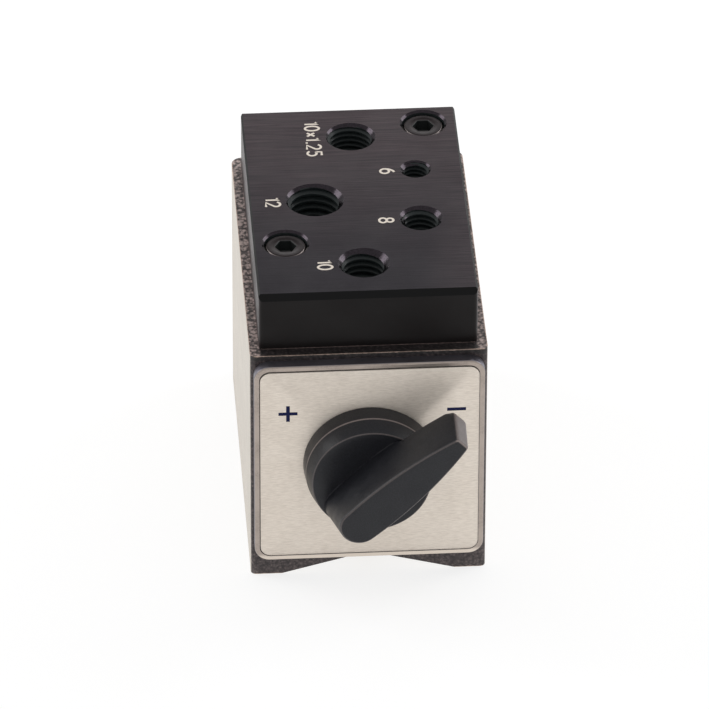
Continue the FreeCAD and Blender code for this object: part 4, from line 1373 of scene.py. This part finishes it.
@dataclass
class Knob:
    """The lever knob: a disc with a cone and a hollow face, and a lever across it.

    Its own axes are u along the lever, n across it and h out of the label. Spans with `free`, `tail`
    and `flare` in their names are distances inside the rim of the disc's face, those of the rubbing,
    which also paints highlights, are distances from a rim, below the lever's face and past its tip.
    """

    rest_angle: float = 43.6
    radius: float = 14.0
    draft: float = 0.35
    rim_height: float = 3.7
    cone_height: float = 3.8
    face_radius: float = 12.5
    dish: float = 0.4
    rim_round: float = 0.28
    foot_round: float = 0.15
    rim_width: float = 0.9
    rim_ease: float = 0.6
    hollow_radius: float = 5.0
    hollow_start: float = 4.0
    hollow_ease: float = 3.0
    reach: float = 25.3
    tip_width: float = 3.2
    belly: float = 4.4
    belly_share: float = 0.08
    tail_reach: float = 8.6
    tip_draft: float = 0.2
    tip_spread: float = 0.5
    tail_foot: float = 12.5
    under: float = 0.8
    root_fillet: float = 0.12
    root_sink: float = 0.9
    root_step: float = 0.02
    tail_dip: float = 1.2
    free_span: Span = (2.6, 0.4)
    tail_span: Span = (2.2, 0.4)
    flare_span: Span = (0.2, 2.7)
    under_round: float = 0.45
    tip_pull: float = 1.4
    tip_rise: float = 2.6
    tip_narrowing: float = 0.1
    tip_length: float = 2.6
    face_round: float = 0.5
    crown: float = 0.12
    # Pale shares of rims, edges and tip: rubbing, and painted highlights.
    rim_rubs_and_highlights: tuple[float, float] = (0.5, 0.22)
    edge_rub_and_highlight: float = 0.2
    tip_rub_and_highlight: float = 0.34
    tip_edge_rub_and_highlight: float = 0.7
    rim_fade: Span = (0.1, 0.26)
    edge_rise: Span = (0.4, 0.15)
    edge_fall: Span = (0.06, 0.01)
    tip_fade: Span = (-0.5, -0.2)
    tip_edge_fade: Span = (-0.9, -0.5)
    hub: float = 0.01
    columns: int = 144
    half_outline: int = 150
    arc_points: tuple[int, int] = (200, 80)
    smoothings: int = 3
    bends: int = 9
    levels: int = 14

    def __post_init__(self) -> None:
        """Read where the knob stands; its turning axis is the joint's."""
        low, high = box_mm("knob")
        across, _, up = turning_axis()
        self.height = high[1] - low[1]
        self.disc_face = self.rim_height + self.cone_height
        self.lever_start = self.disc_face - 2.0 * self.dish
        self.centre = np.array([across, high[1], up])
        angle = math.radians(self.rest_angle)
        self.axes = np.array([
            [math.cos(angle), 0.0, math.sin(angle)],
            [-math.sin(angle), 0.0, math.cos(angle)],
            [0.0, -1.0, 0.0],
        ])

    def disc(self) -> Shell:
        """Turn the disc's profile: the wall with its draft, the cone, a rim, and the hollow face.

        Each rim is rounded by an arc between the two slopes that meet there.

        Returns:
            A closed shell in the knob's own axes.
        """
        hollow = self.disc_face - self.dish
        corners = [
            (self.hub, 0.0, 0.0),
            (self.radius, 0.0, self.foot_round),
            (self.radius - self.draft, self.rim_height, self.rim_round),
            (self.face_radius, self.disc_face, self.rim_round),
            (self.face_radius - self.rim_width, self.disc_face, self.rim_ease),
            (self.hollow_radius, hollow, self.hollow_ease),
            (self.hub, hollow, 0.0),
        ]
        return grid_shell(turned(round_corners(np.array(corners)), self.columns), close_ends=True)

    def outline(self, tail: float, reach: float, tip: float) -> np.ndarray:
        """Work out the lever's outline: a straight tip, two long arcs and a round tail.

        The long arcs pass through the tip's corners and are widest at the belly. The tail's arc
        touches both. The points are evenly spaced, start at the middle of the tip and are the same
        on both sides.

        Args:
            tail: How far the tail reaches from the axis.
            reach: How far the tip reaches from the axis.
            tip: How wide the tip is.

        Returns:
            Points u and n, an even number of them.
        """
        half_tip = tip / 2.0
        place = self.belly_share * reach
        slack = self.belly - half_tip
        side = ((reach - place) ** 2 + slack**2) / (2.0 * slack)
        span = tail + place
        end = (2.0 * self.belly * side - self.belly**2 - span**2) / (2.0 * (side - span))
        end_centre = end - tail
        low_turn = math.atan2(side - self.belly, end_centre - place)
        high_turn = math.asin((reach - place) / side)
        turn = np.linspace(np.pi / 2.0 - high_turn, low_turn, self.arc_points[0])
        long_arc = np.stack([place + side * np.cos(turn), self.belly - side + side * np.sin(turn)], axis=-1)
        turn = np.linspace(low_turn, np.pi, self.arc_points[1])
        tail_arc = np.stack([end_centre + end * np.cos(turn), end * np.sin(turn)], axis=-1)
        half = np.vstack([[[reach, 0.0]], long_arc, tail_arc[1:]])
        length = np.concatenate([[0.0], np.cumsum(np.linalg.norm(np.diff(half, axis=0), axis=1))])
        even = np.linspace(0.0, length[-1], self.half_outline + 1)
        half = np.stack([np.interp(even, length, half[:, axis]) for axis in (0, 1)], axis=-1)
        half[-1, 1] = 0.0
        loop = np.vstack([half, half[-2:0:-1] * [1.0, -1.0]])
        for _ in range(self.smoothings):
            loop = (np.roll(loop, 1, axis=0) + 2.0 * loop + np.roll(loop, -1, axis=0)) / 4.0
        return loop

    def lever(self) -> Shell:
        """Work out the lever as rings stacked out of the disc.

        A ring is the outline between the root's and the face's, moved along its own normal. At the
        root it flares into the disc's face by a quarter circle, which fades out near the disc's
        rim. Beyond the disc the underside rises and its edges are round. There a share of the tip,
        which grows from 0 to 1 over the tip's length, is pulled back and lifted by the curve's
        cosine, so that the tip's underside is round. The face's edge is round too.

        Returns:
            A closed shell in the knob's own axes.
        """
        root = self.outline(self.tail_foot, self.reach + self.tip_draft, self.tip_width + self.tip_spread)
        crest = self.outline(self.tail_reach, self.reach, self.tip_width)
        start, top = self.lever_start, self.height - self.crown
        u = root[:, 0]
        far = np.linalg.norm(root, axis=1)
        free = smooth_step(u, *(self.face_radius - inward for inward in self.free_span))
        at_tail = smooth_step(-u, *(self.face_radius - inward for inward in self.tail_span))
        hollow = 1.0 - smooth_step(far, self.hollow_start, self.face_radius - self.rim_width)
        face_level = self.disc_face - self.dish * hollow
        base = face_level + free * (self.under + self.disc_face - face_level) - at_tail * self.tail_dip
        flare = self.root_fillet * smooth_step(self.face_radius - far, *self.flare_span) * (1.0 - free)
        end = self.reach + self.tip_draft
        tip = smooth_step(u, end - self.tip_length, end)
        tuck = free * self.under_round
        rise = free * (self.under_round + (self.tip_rise - self.under_round) * tip)

        def ring(level: np.ndarray, offset: np.ndarray, pull: float = 0.0) -> np.ndarray:
            """Work out one ring.

            Args:
                level: Height of each of its points.
                offset: How far each point moves outward.
                pull: How far the tip is pulled back and narrowed.

            Returns:
                Its points in the knob's own axes.
            """
            share = np.clip((level - start) / (top - start), -0.2, 1.0)[:, None]
            loop = root + (crest - root) * share
            heading = np.roll(loop, -1, axis=0) - np.roll(loop, 1, axis=0)
            heading /= np.linalg.norm(heading, axis=1, keepdims=True)
            outward = np.stack([heading[:, 1], -heading[:, 0]], axis=-1)
            loop = loop + outward * offset[:, None]
            back = np.column_stack([np.ones(len(u)), self.tip_narrowing * loop[:, 1]])
            return np.column_stack([loop - pull * tip[:, None] * back, level])

        rings = [ring(base - self.root_sink * (1.0 - free), -tuck, self.tip_pull)]
        quarter = np.linspace(0.0, np.pi / 2.0, self.bends)
        for bend in quarter:
            level = base - self.root_step * (1.0 - free) + (flare + rise) * (1.0 - math.cos(bend))
            inward = 1.0 - math.sin(bend)
            rings.append(ring(level, (flare - tuck) * inward, self.tip_pull * inward))
        lower = base + flare + rise
        upper = top - self.face_round
        for share in np.linspace(0.0, 1.0, self.levels)[1:]:
            rings.append(ring(lower + (upper - lower) * share, np.zeros(len(u))))
        for bend in quarter[1:]:
            level = np.full(len(u), upper + self.face_round * math.sin(bend))
            rings.append(ring(level, np.full(len(u), -self.face_round * (1.0 - math.cos(bend)))))
        walls = grid_shell(np.stack(rings))
        return walls.joined(self.ladder(rings[0], 0.0), self.ladder(rings[-1], self.crown))

    def ladder(self, ring: np.ndarray, crown: float) -> Shell:
        """Close a ring that is the same on both sides with rungs across it.

        A point on a rung lies between its two ends, raised by the crown times one less the square
        of its place from the middle and by the share of the rung's length.

        Args:
            ring: Points of the ring, from the middle of the tip round to it again.
            crown: How far the middle stands up.

        Returns:
            An open patch whose border is the ring.
        """
        half = len(ring) // 2
        one, other = ring[: half + 1], ring[[0, *range(len(ring) - 1, half - 1, -1)]]
        share = np.linspace(0.0, 1.0, self.bends)
        rungs = one[:, None] + (other - one)[:, None] * share[:, None]
        wide = np.linalg.norm(other - one, axis=1) / (2.0 * self.belly)
        rungs[:, :, 2] += crown * wide[:, None] * (1.0 - (2.0 * share - 1.0) ** 2)
        return grid_shell(rungs, wrap=False)

    def build(self) -> Shell:
        """Put disc and lever together and turn them to the angle at rest."""
        shell = self.disc().joined(self.lever())
        return Shell(shell.points @ self.axes + self.centre, shell.quads, shell.triangles)

    def rubbed_and_highlit(self, points: np.ndarray) -> np.ndarray:
        """Work out the pale share on the disc's two rims and on the lever's edge and tip: rubbing, and a painted
        highlight.

        A rim's share falls with the distance from it. The edge's share rises up the lever's round
        edge and ends where the face starts. The tip's own shares start near its drafted end, which
        lies further out the lower a point is.

        Args:
            points: Points of the knob in millimetres.

        Returns:
            A number from 0 to 1 for each point.
        """
        along, across, height = ((points - self.centre) @ self.axes.T).T
        far = np.hypot(along, across)
        rims = ((self.radius - self.draft, self.rim_height), (self.face_radius, self.disc_face))
        shares = [
            rub * (1.0 - smooth_step(np.hypot(far - radius, height - level), *self.rim_fade))
            for (radius, level), rub in zip(rims, self.rim_rubs_and_highlights)
        ]
        top = self.height - self.crown
        rise = smooth_step(height, *(top - below for below in self.edge_rise))
        edge = rise * (1.0 - smooth_step(height, *(top - below for below in self.edge_fall)))
        sunk = np.clip((top - height) / (top - self.lever_start), 0.0, 1.0)
        past = along - self.reach - self.tip_draft * sunk
        tip = self.tip_rub_and_highlight * smooth_step(past, *self.tip_fade)
        tip_edge = self.tip_edge_rub_and_highlight * edge * smooth_step(past, *self.tip_edge_fade)
        return np.max([*shares, self.edge_rub_and_highlight * edge, tip, tip_edge], axis=0)


def round_corners(corners: np.ndarray, steps: int = 6) -> np.ndarray:
    """Round the corners of a profile.

    Each corner is replaced by a curve through corner, start and end: start times (1 - t) squared,
    corner times 2 t (1 - t) and end times t squared, added.

    Args:
        corners: Points of the profile, two columns, and how far from each its curve starts and ends.
        steps: Pieces of each curve.

    Returns:
        The rounded profile.
    """
    share = np.linspace(0.0, 1.0, steps + 1)[:, None]
    points, sizes = corners[:, :2], corners[:, 2]
    parts = [points[:1]]
    for before, corner, after, size in zip(points[:-2], points[1:-1], points[2:], sizes[1:-1]):
        start = corner + (before - corner) * size / np.linalg.norm(before - corner)
        end = corner + (after - corner) * size / np.linalg.norm(after - corner)
        parts.append(start * (1.0 - share) ** 2 + corner * 2.0 * share * (1.0 - share) + end * share**2)
    return np.vstack([*parts, points[-1:]])


@dataclass
class LabelSheet:
    """The thin label in the cover's recess, with a round hole and two printed marks.

    It leaves a gap at the recess's top and left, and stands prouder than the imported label.
    """

    proud: float = 0.2
    top_gap: float = 0.45
    left_gap: float = 0.12
    corner: float = 2.2
    edge: float = 0.12
    hole: float = 7.5
    plus_place: Span = (-17.17, 43.1)
    minus_place: Span = (18.32, 42.9)
    mark_height: float = 4.0
    mark_stroke: float = 0.78
    mark_proud: float = 0.02
    columns: int = 128
    per_corner: int = 13

    def build(self) -> Shell:
        """Work out the sheet: its back, its wall, a bevel round the face, and the face.

        The sheet is drawn level, with its face up, and then stood upright to look forward.

        Returns:
            A closed shell.
        """
        low, high = box_mm("label_plate")
        thick = high[1] - low[1] + self.proud
        left, right = low[0] + self.left_gap, high[0]
        bottom, top = low[2], high[2] - self.top_gap
        middle = np.array([(left + right) / 2.0, (bottom + top) / 2.0])
        half = np.array([(right - left) / 2.0, (top - bottom) / 2.0])
        wall = rounded_rectangle(*half, self.corner, self.per_corner) + middle
        face = rounded_rectangle(*(half - self.edge), self.corner - self.edge, self.per_corner) + middle
        hole = circle(self.hole, self.columns) + turning_axis()[[0, 2]]
        rings = [(wall, 0.0), (wall, thick - self.edge / 2.0), (face, thick)]
        rows = [np.column_stack([loop, np.full(len(loop), level)]) for loop, level in rings]
        bore = [np.column_stack([hole, np.full(len(hole), level)]) for level in (0.0, thick)]
        faces = filled(face, [hole], thick), filled(wall, [hole], 0.0)
        shell = grid_shell(np.stack(rows)).joined(grid_shell(np.stack(bore)), *faces)
        upright = np.stack([shell.points[:, 0], high[1] - shell.points[:, 2], shell.points[:, 1]], axis=-1)
        return Shell(upright, shell.quads, shell.triangles)

    def marks(self) -> list[Mark]:
        """List the printed marks.

        Returns:
            The plus and the minus, on the label's face and looking forward.
        """
        face = box_mm("label_plate")[0][1] - self.proud
        axes = np.array([[1.0, 0.0, 0.0], [0.0, 0.0, 1.0], [0.0, -1.0, 0.0]])
        sizes = {"height": self.mark_height, "stroke": self.mark_stroke, "narrow": 1.0, "proud": self.mark_proud}
        places = (("plus_mark", "+", self.plus_place), ("minus_mark", "-", self.minus_place))
        return [Mark(name, sign, np.array([across, face, up]), axes, **sizes) for name, sign, (across, up) in places]


@dataclass
class Base:
    """Everything that stands still: blocks, strips, plate, screws, covers and label."""

    plate: TopPlate = field(default_factory=TopPlate)
    label: LabelSheet = field(default_factory=LabelSheet)

    def build(self) -> None:
        """Make and dress the pieces that ride on the base."""
        dress(PaintedBlock().build(), "left_pole_block", "right_pole_block")
        strip = PaintedBlock("painted_brass_strip", steel=srgb(205, 176, 120), steel_shade=srgb(176, 148, 96))
        dress(strip.build(), "top_separator", "bottom_separator")
        self.build_plate()
        self.build_screws()
        dress(CastCover().build(), "front_cover", "rear_cover")
        self.build_label()
        # The zinc screws' bevels carry a painted highlight.
        zinc = WorkedMetal(
            "screw_zinc", srgb(205, 205, 208), srgb(170, 170, 176), Working.EVEN, 0.3, bevel=srgb(222, 222, 226)
        )
        dress(zinc.build(), "front_cover_screws", "rear_cover_screws")
        bronze = WorkedMetal("bush_bronze", srgb(190, 140, 88), srgb(156, 110, 66), Working.EVEN, 0.4)
        dress(bronze.build(), "front_bush", "rear_bush")

    def build_plate(self) -> None:
        """Make the plate, with its own finishes in the holes and on their bevels, and its marks."""
        plate = make_piece("plate_body", self.plate.build(), BlackenedPlate().build(), "base", 28.0)
        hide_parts("top_plate")
        bore = GrainyCoat("blackened_thread", srgb(34, 40, 41), srgb(54, 59, 59), 0.4, 0.3, specular=0.25)
        refinish(plate, bore.build(), self.plate.in_holes)
        mouth = WorkedMetal("machined_mouth", srgb(66, 60, 66), srgb(42, 39, 42), Working.EVEN, 0.13, 0.08, 0.004)
        refinish(plate, mouth.build(), self.plate.in_mouths)
        ink = GrainyCoat("white_ink", srgb(240, 229, 216), srgb(214, 204, 192), roughness=0.6).build()
        for mark in self.plate.marks():
            make_piece(mark.name, mark.build(), ink, "base")

    def build_screws(self) -> None:
        """Make the two cap screws, with a painted highlight on their bevels and painted shade in their sockets."""
        # The cap screws' bevels carry a painted highlight.
        oxide = WorkedMetal(
            "screw_black_oxide", srgb(54, 48, 49), srgb(36, 33, 34), Working.EVEN, 0.28, 0.1, 0.004,
            bevel=srgb(156, 146, 144),
        ).build()
        # Painted shade: the sockets are near black where shade falls in them.
        socket = GrainyCoat("painted_shade_socket", srgb(20, 24, 24), srgb(32, 35, 35), depth=0.02).build()
        for node in CAP_SCREWS:
            screw = CapScrew(node)
            piece = make_piece(f"{node}_body", screw.build(), oxide, "base", 40.0)
            refinish(piece, socket, screw.in_socket)
            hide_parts(node)

    def build_label(self) -> None:
        """Make the label and its marks."""
        brushed = WorkedMetal(
            "brushed_label", srgb(254, 244, 232), srgb(228, 217, 204), Working.BRUSHED, 0.46, 0.08, 0.003, 0.6
        )
        label = make_piece("label_sheet", self.label.build(), brushed.build(), "base", 30.0)
        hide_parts("label_plate")
        navy = GrainyCoat("navy_ink", srgb(14, 22, 70), srgb(22, 30, 84), specular=0.2).build()
        for mark in self.label.marks():
            make_piece(mark.name, mark.build(), navy, "base")


@dataclass
class Rotor:
    """Everything that turns: the knob, its grub screw and the magnet's carrier."""

    knob: Knob = field(default_factory=Knob)

    def build(self) -> None:
        """Make and dress the pieces that ride on the rotor."""
        plastic = MouldedPlastic()
        knob = make_piece("knob_body", self.knob.build(), plastic.build(), "rotor", 50.0)
        mark_points(knob, plastic.attribute, self.knob.rubbed_and_highlit)
        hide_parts("knob")
        grub = WorkedMetal("grub_black_oxide", srgb(70, 68, 68), srgb(46, 45, 46), Working.EVEN, 0.4)
        dress(grub.build(), "knob_grub_screw")
        steel = WorkedMetal("turned_steel", srgb(196, 196, 198), srgb(160, 160, 164), Working.EVEN, 0.28)
        dress(steel.build(), "spindle", "rear_journal", "stop_pin")
        brass = WorkedMetal("cap_brass", srgb(208, 178, 116), srgb(180, 150, 92), Working.BRUSHED, 0.34)
        dress(brass.build(), "rotor_front_cap", "rotor_rear_cap")
        ferrite = GrainyCoat("ferrite_grey", srgb(52, 52, 56), srgb(70, 70, 74), roughness=0.6, depth=0.02)
        dress(ferrite.build(), "magnet_block")
        shoe = WorkedMetal("shoe_steel", srgb(150, 150, 154), srgb(118, 118, 124))
        dress(shoe.build(), "upper_pole_shoe", "lower_pole_shoe")
        rivet = WorkedMetal("rivet_brass", srgb(200, 168, 106), srgb(170, 140, 84), Working.EVEN, 0.4)
        dress(rivet.build(), "rotor_rivets")


@dataclass(frozen=True)
class Lamp:
    """A square soft lamp: its place and its side in metres, and its power in watts."""

    name: str
    place: Place
    side: float
    power: float

    def hang(self) -> None:
        """Hang the lamp so that it looks at the object's middle."""
        light = bpy.data.lights.new(self.name, "AREA")
        light.shape, light.size, light.energy = "SQUARE", self.side, self.power
        lamp = bpy.data.objects.new(self.name, light)
        middle = (CAD_BOX[0] + CAD_BOX[1]) / 2.0
        lamp.location = self.place
        lamp.rotation_euler = (middle - Vector(self.place)).to_track_quat("-Z", "Y").to_euler()
        bpy.context.scene.collection.objects.link(lamp)


@dataclass
class Studio:
    """The floor, the sky, the lamps and the camera.

    Lengths are in metres. The floor's tones are its diffuse share where light falls on it, its
    diffuse share where it is seen, and its own glow there.
    """

    floor_half: float = 8.0
    floor_level: float = -0.0001
    floor_lit: float = 0.8
    floor_seen: float = 0.3
    floor_glow: float = 0.78
    sky: float = 0.6
    lamps: tuple[Lamp, ...] = (
        Lamp("panel_behind", (0.1, 0.55, 0.25), 0.5, 0.6),
        Lamp("softbox_left", (-0.95, 0.42, 0.5), 0.5, 3.2),
        Lamp("softbox_right", (0.95, 0.42, 0.5), 0.5, 3.2),
    )
    photo_side: int = 709
    focal_pixels: float = 9000.0
    sensor: float = 36.0
    clip: Span = (0.05, 50.0)
    camera_place: Place = (-0.104045, -1.567704, 1.137338)
    camera_right: Place = (0.99796, -0.06378, 0.00237)
    camera_down: Place = (-0.03466, -0.57274, -0.81900)
    camera_look: Place = (0.05359, 0.81725, -0.57378)

    def build(self) -> None:
        """Set the stage for the portrait."""
        self.floor()
        self.world()
        for lamp in self.lamps:
            lamp.hang()
        self.camera()
        bpy.context.scene.view_settings.view_transform = "Standard"

    def floor(self) -> None:
        """Make a white floor: lit by its own colour where it is seen, but keeping the shadow."""
        half, level = self.floor_half, self.floor_level
        mesh = bpy.data.meshes.new("floor")
        corners = [(-half, -half, level), (half, -half, level), (half, half, level), (-half, half, level)]
        mesh.from_pydata(corners, [], [(0, 1, 2, 3)])
        floor = bpy.data.objects.new("floor", mesh)
        bpy.context.scene.collection.objects.link(floor)
        material = bpy.data.materials.new("floor_white")
        material.use_nodes = True
        tree = material.node_tree
        tree.nodes.clear()
        rays = add_node(tree, "ShaderNodeLightPath").outputs
        direct = add_maths(tree, "MAXIMUM", rays["Is Camera Ray"], rays["Is Glossy Ray"])
        seen = add_maths(tree, "MAXIMUM", direct, rays["Is Transmission Ray"])
        lit = add_node(tree, "ShaderNodeBsdfDiffuse", {"Color": grey(self.floor_lit)}).outputs[0]
        shade = add_node(tree, "ShaderNodeBsdfDiffuse", {"Color": grey(self.floor_seen)}).outputs[0]
        glow = add_node(tree, "ShaderNodeEmission", {"Color": grey(1.0), "Strength": self.floor_glow}).outputs[0]
        shown = add_node(tree, "ShaderNodeAddShader", {0: shade, 1: glow}).outputs[0]
        mixed = add_node(tree, "ShaderNodeMixShader", {0: seen, 1: lit, 2: shown}).outputs[0]
        add_node(tree, "ShaderNodeOutputMaterial", {0: mixed})
        mesh.materials.append(material)

    def world(self) -> None:
        """Light the scene evenly with white, at full white where the sky itself is seen."""
        world = bpy.data.worlds.new("studio")
        bpy.context.scene.world = world
        world.use_nodes = True
        tree = world.node_tree
        tree.nodes.clear()
        rays = add_node(tree, "ShaderNodeLightPath").outputs
        seen = add_maths(tree, "MAXIMUM", rays["Is Camera Ray"], rays["Is Transmission Ray"])
        strength = add_ramp(tree, seen, 0.0, 1.0, self.sky, 1.0)
        sky = add_node(tree, "ShaderNodeBackground", {"Color": grey(1.0), "Strength": strength}).outputs[0]
        add_node(tree, "ShaderNodeOutputWorld", {0: sky})

    def camera(self) -> None:
        """Place the camera where the photograph was taken from."""
        lens = bpy.data.cameras.new("portrait")
        lens.sensor_width = self.sensor
        lens.lens = self.focal_pixels / self.photo_side * lens.sensor_width
        lens.clip_start, lens.clip_end = self.clip
        camera = bpy.data.objects.new("portrait", lens)
        right, down, look = (Vector(way) for way in (self.camera_right, self.camera_down, self.camera_look))
        turn = Matrix((right, -down, -look)).transposed()
        camera.matrix_world = Matrix.Translation(self.camera_place) @ turn.to_4x4()
        bpy.context.scene.collection.objects.link(camera)
        bpy.context.scene.camera = camera


def main() -> None:
    """Build the object and its studio."""
    logging.basicConfig(level=logging.INFO, format="%(message)s")
    Studio().build()
    Base().build()
    Rotor().build()


if __name__ == "__main__":
    main()
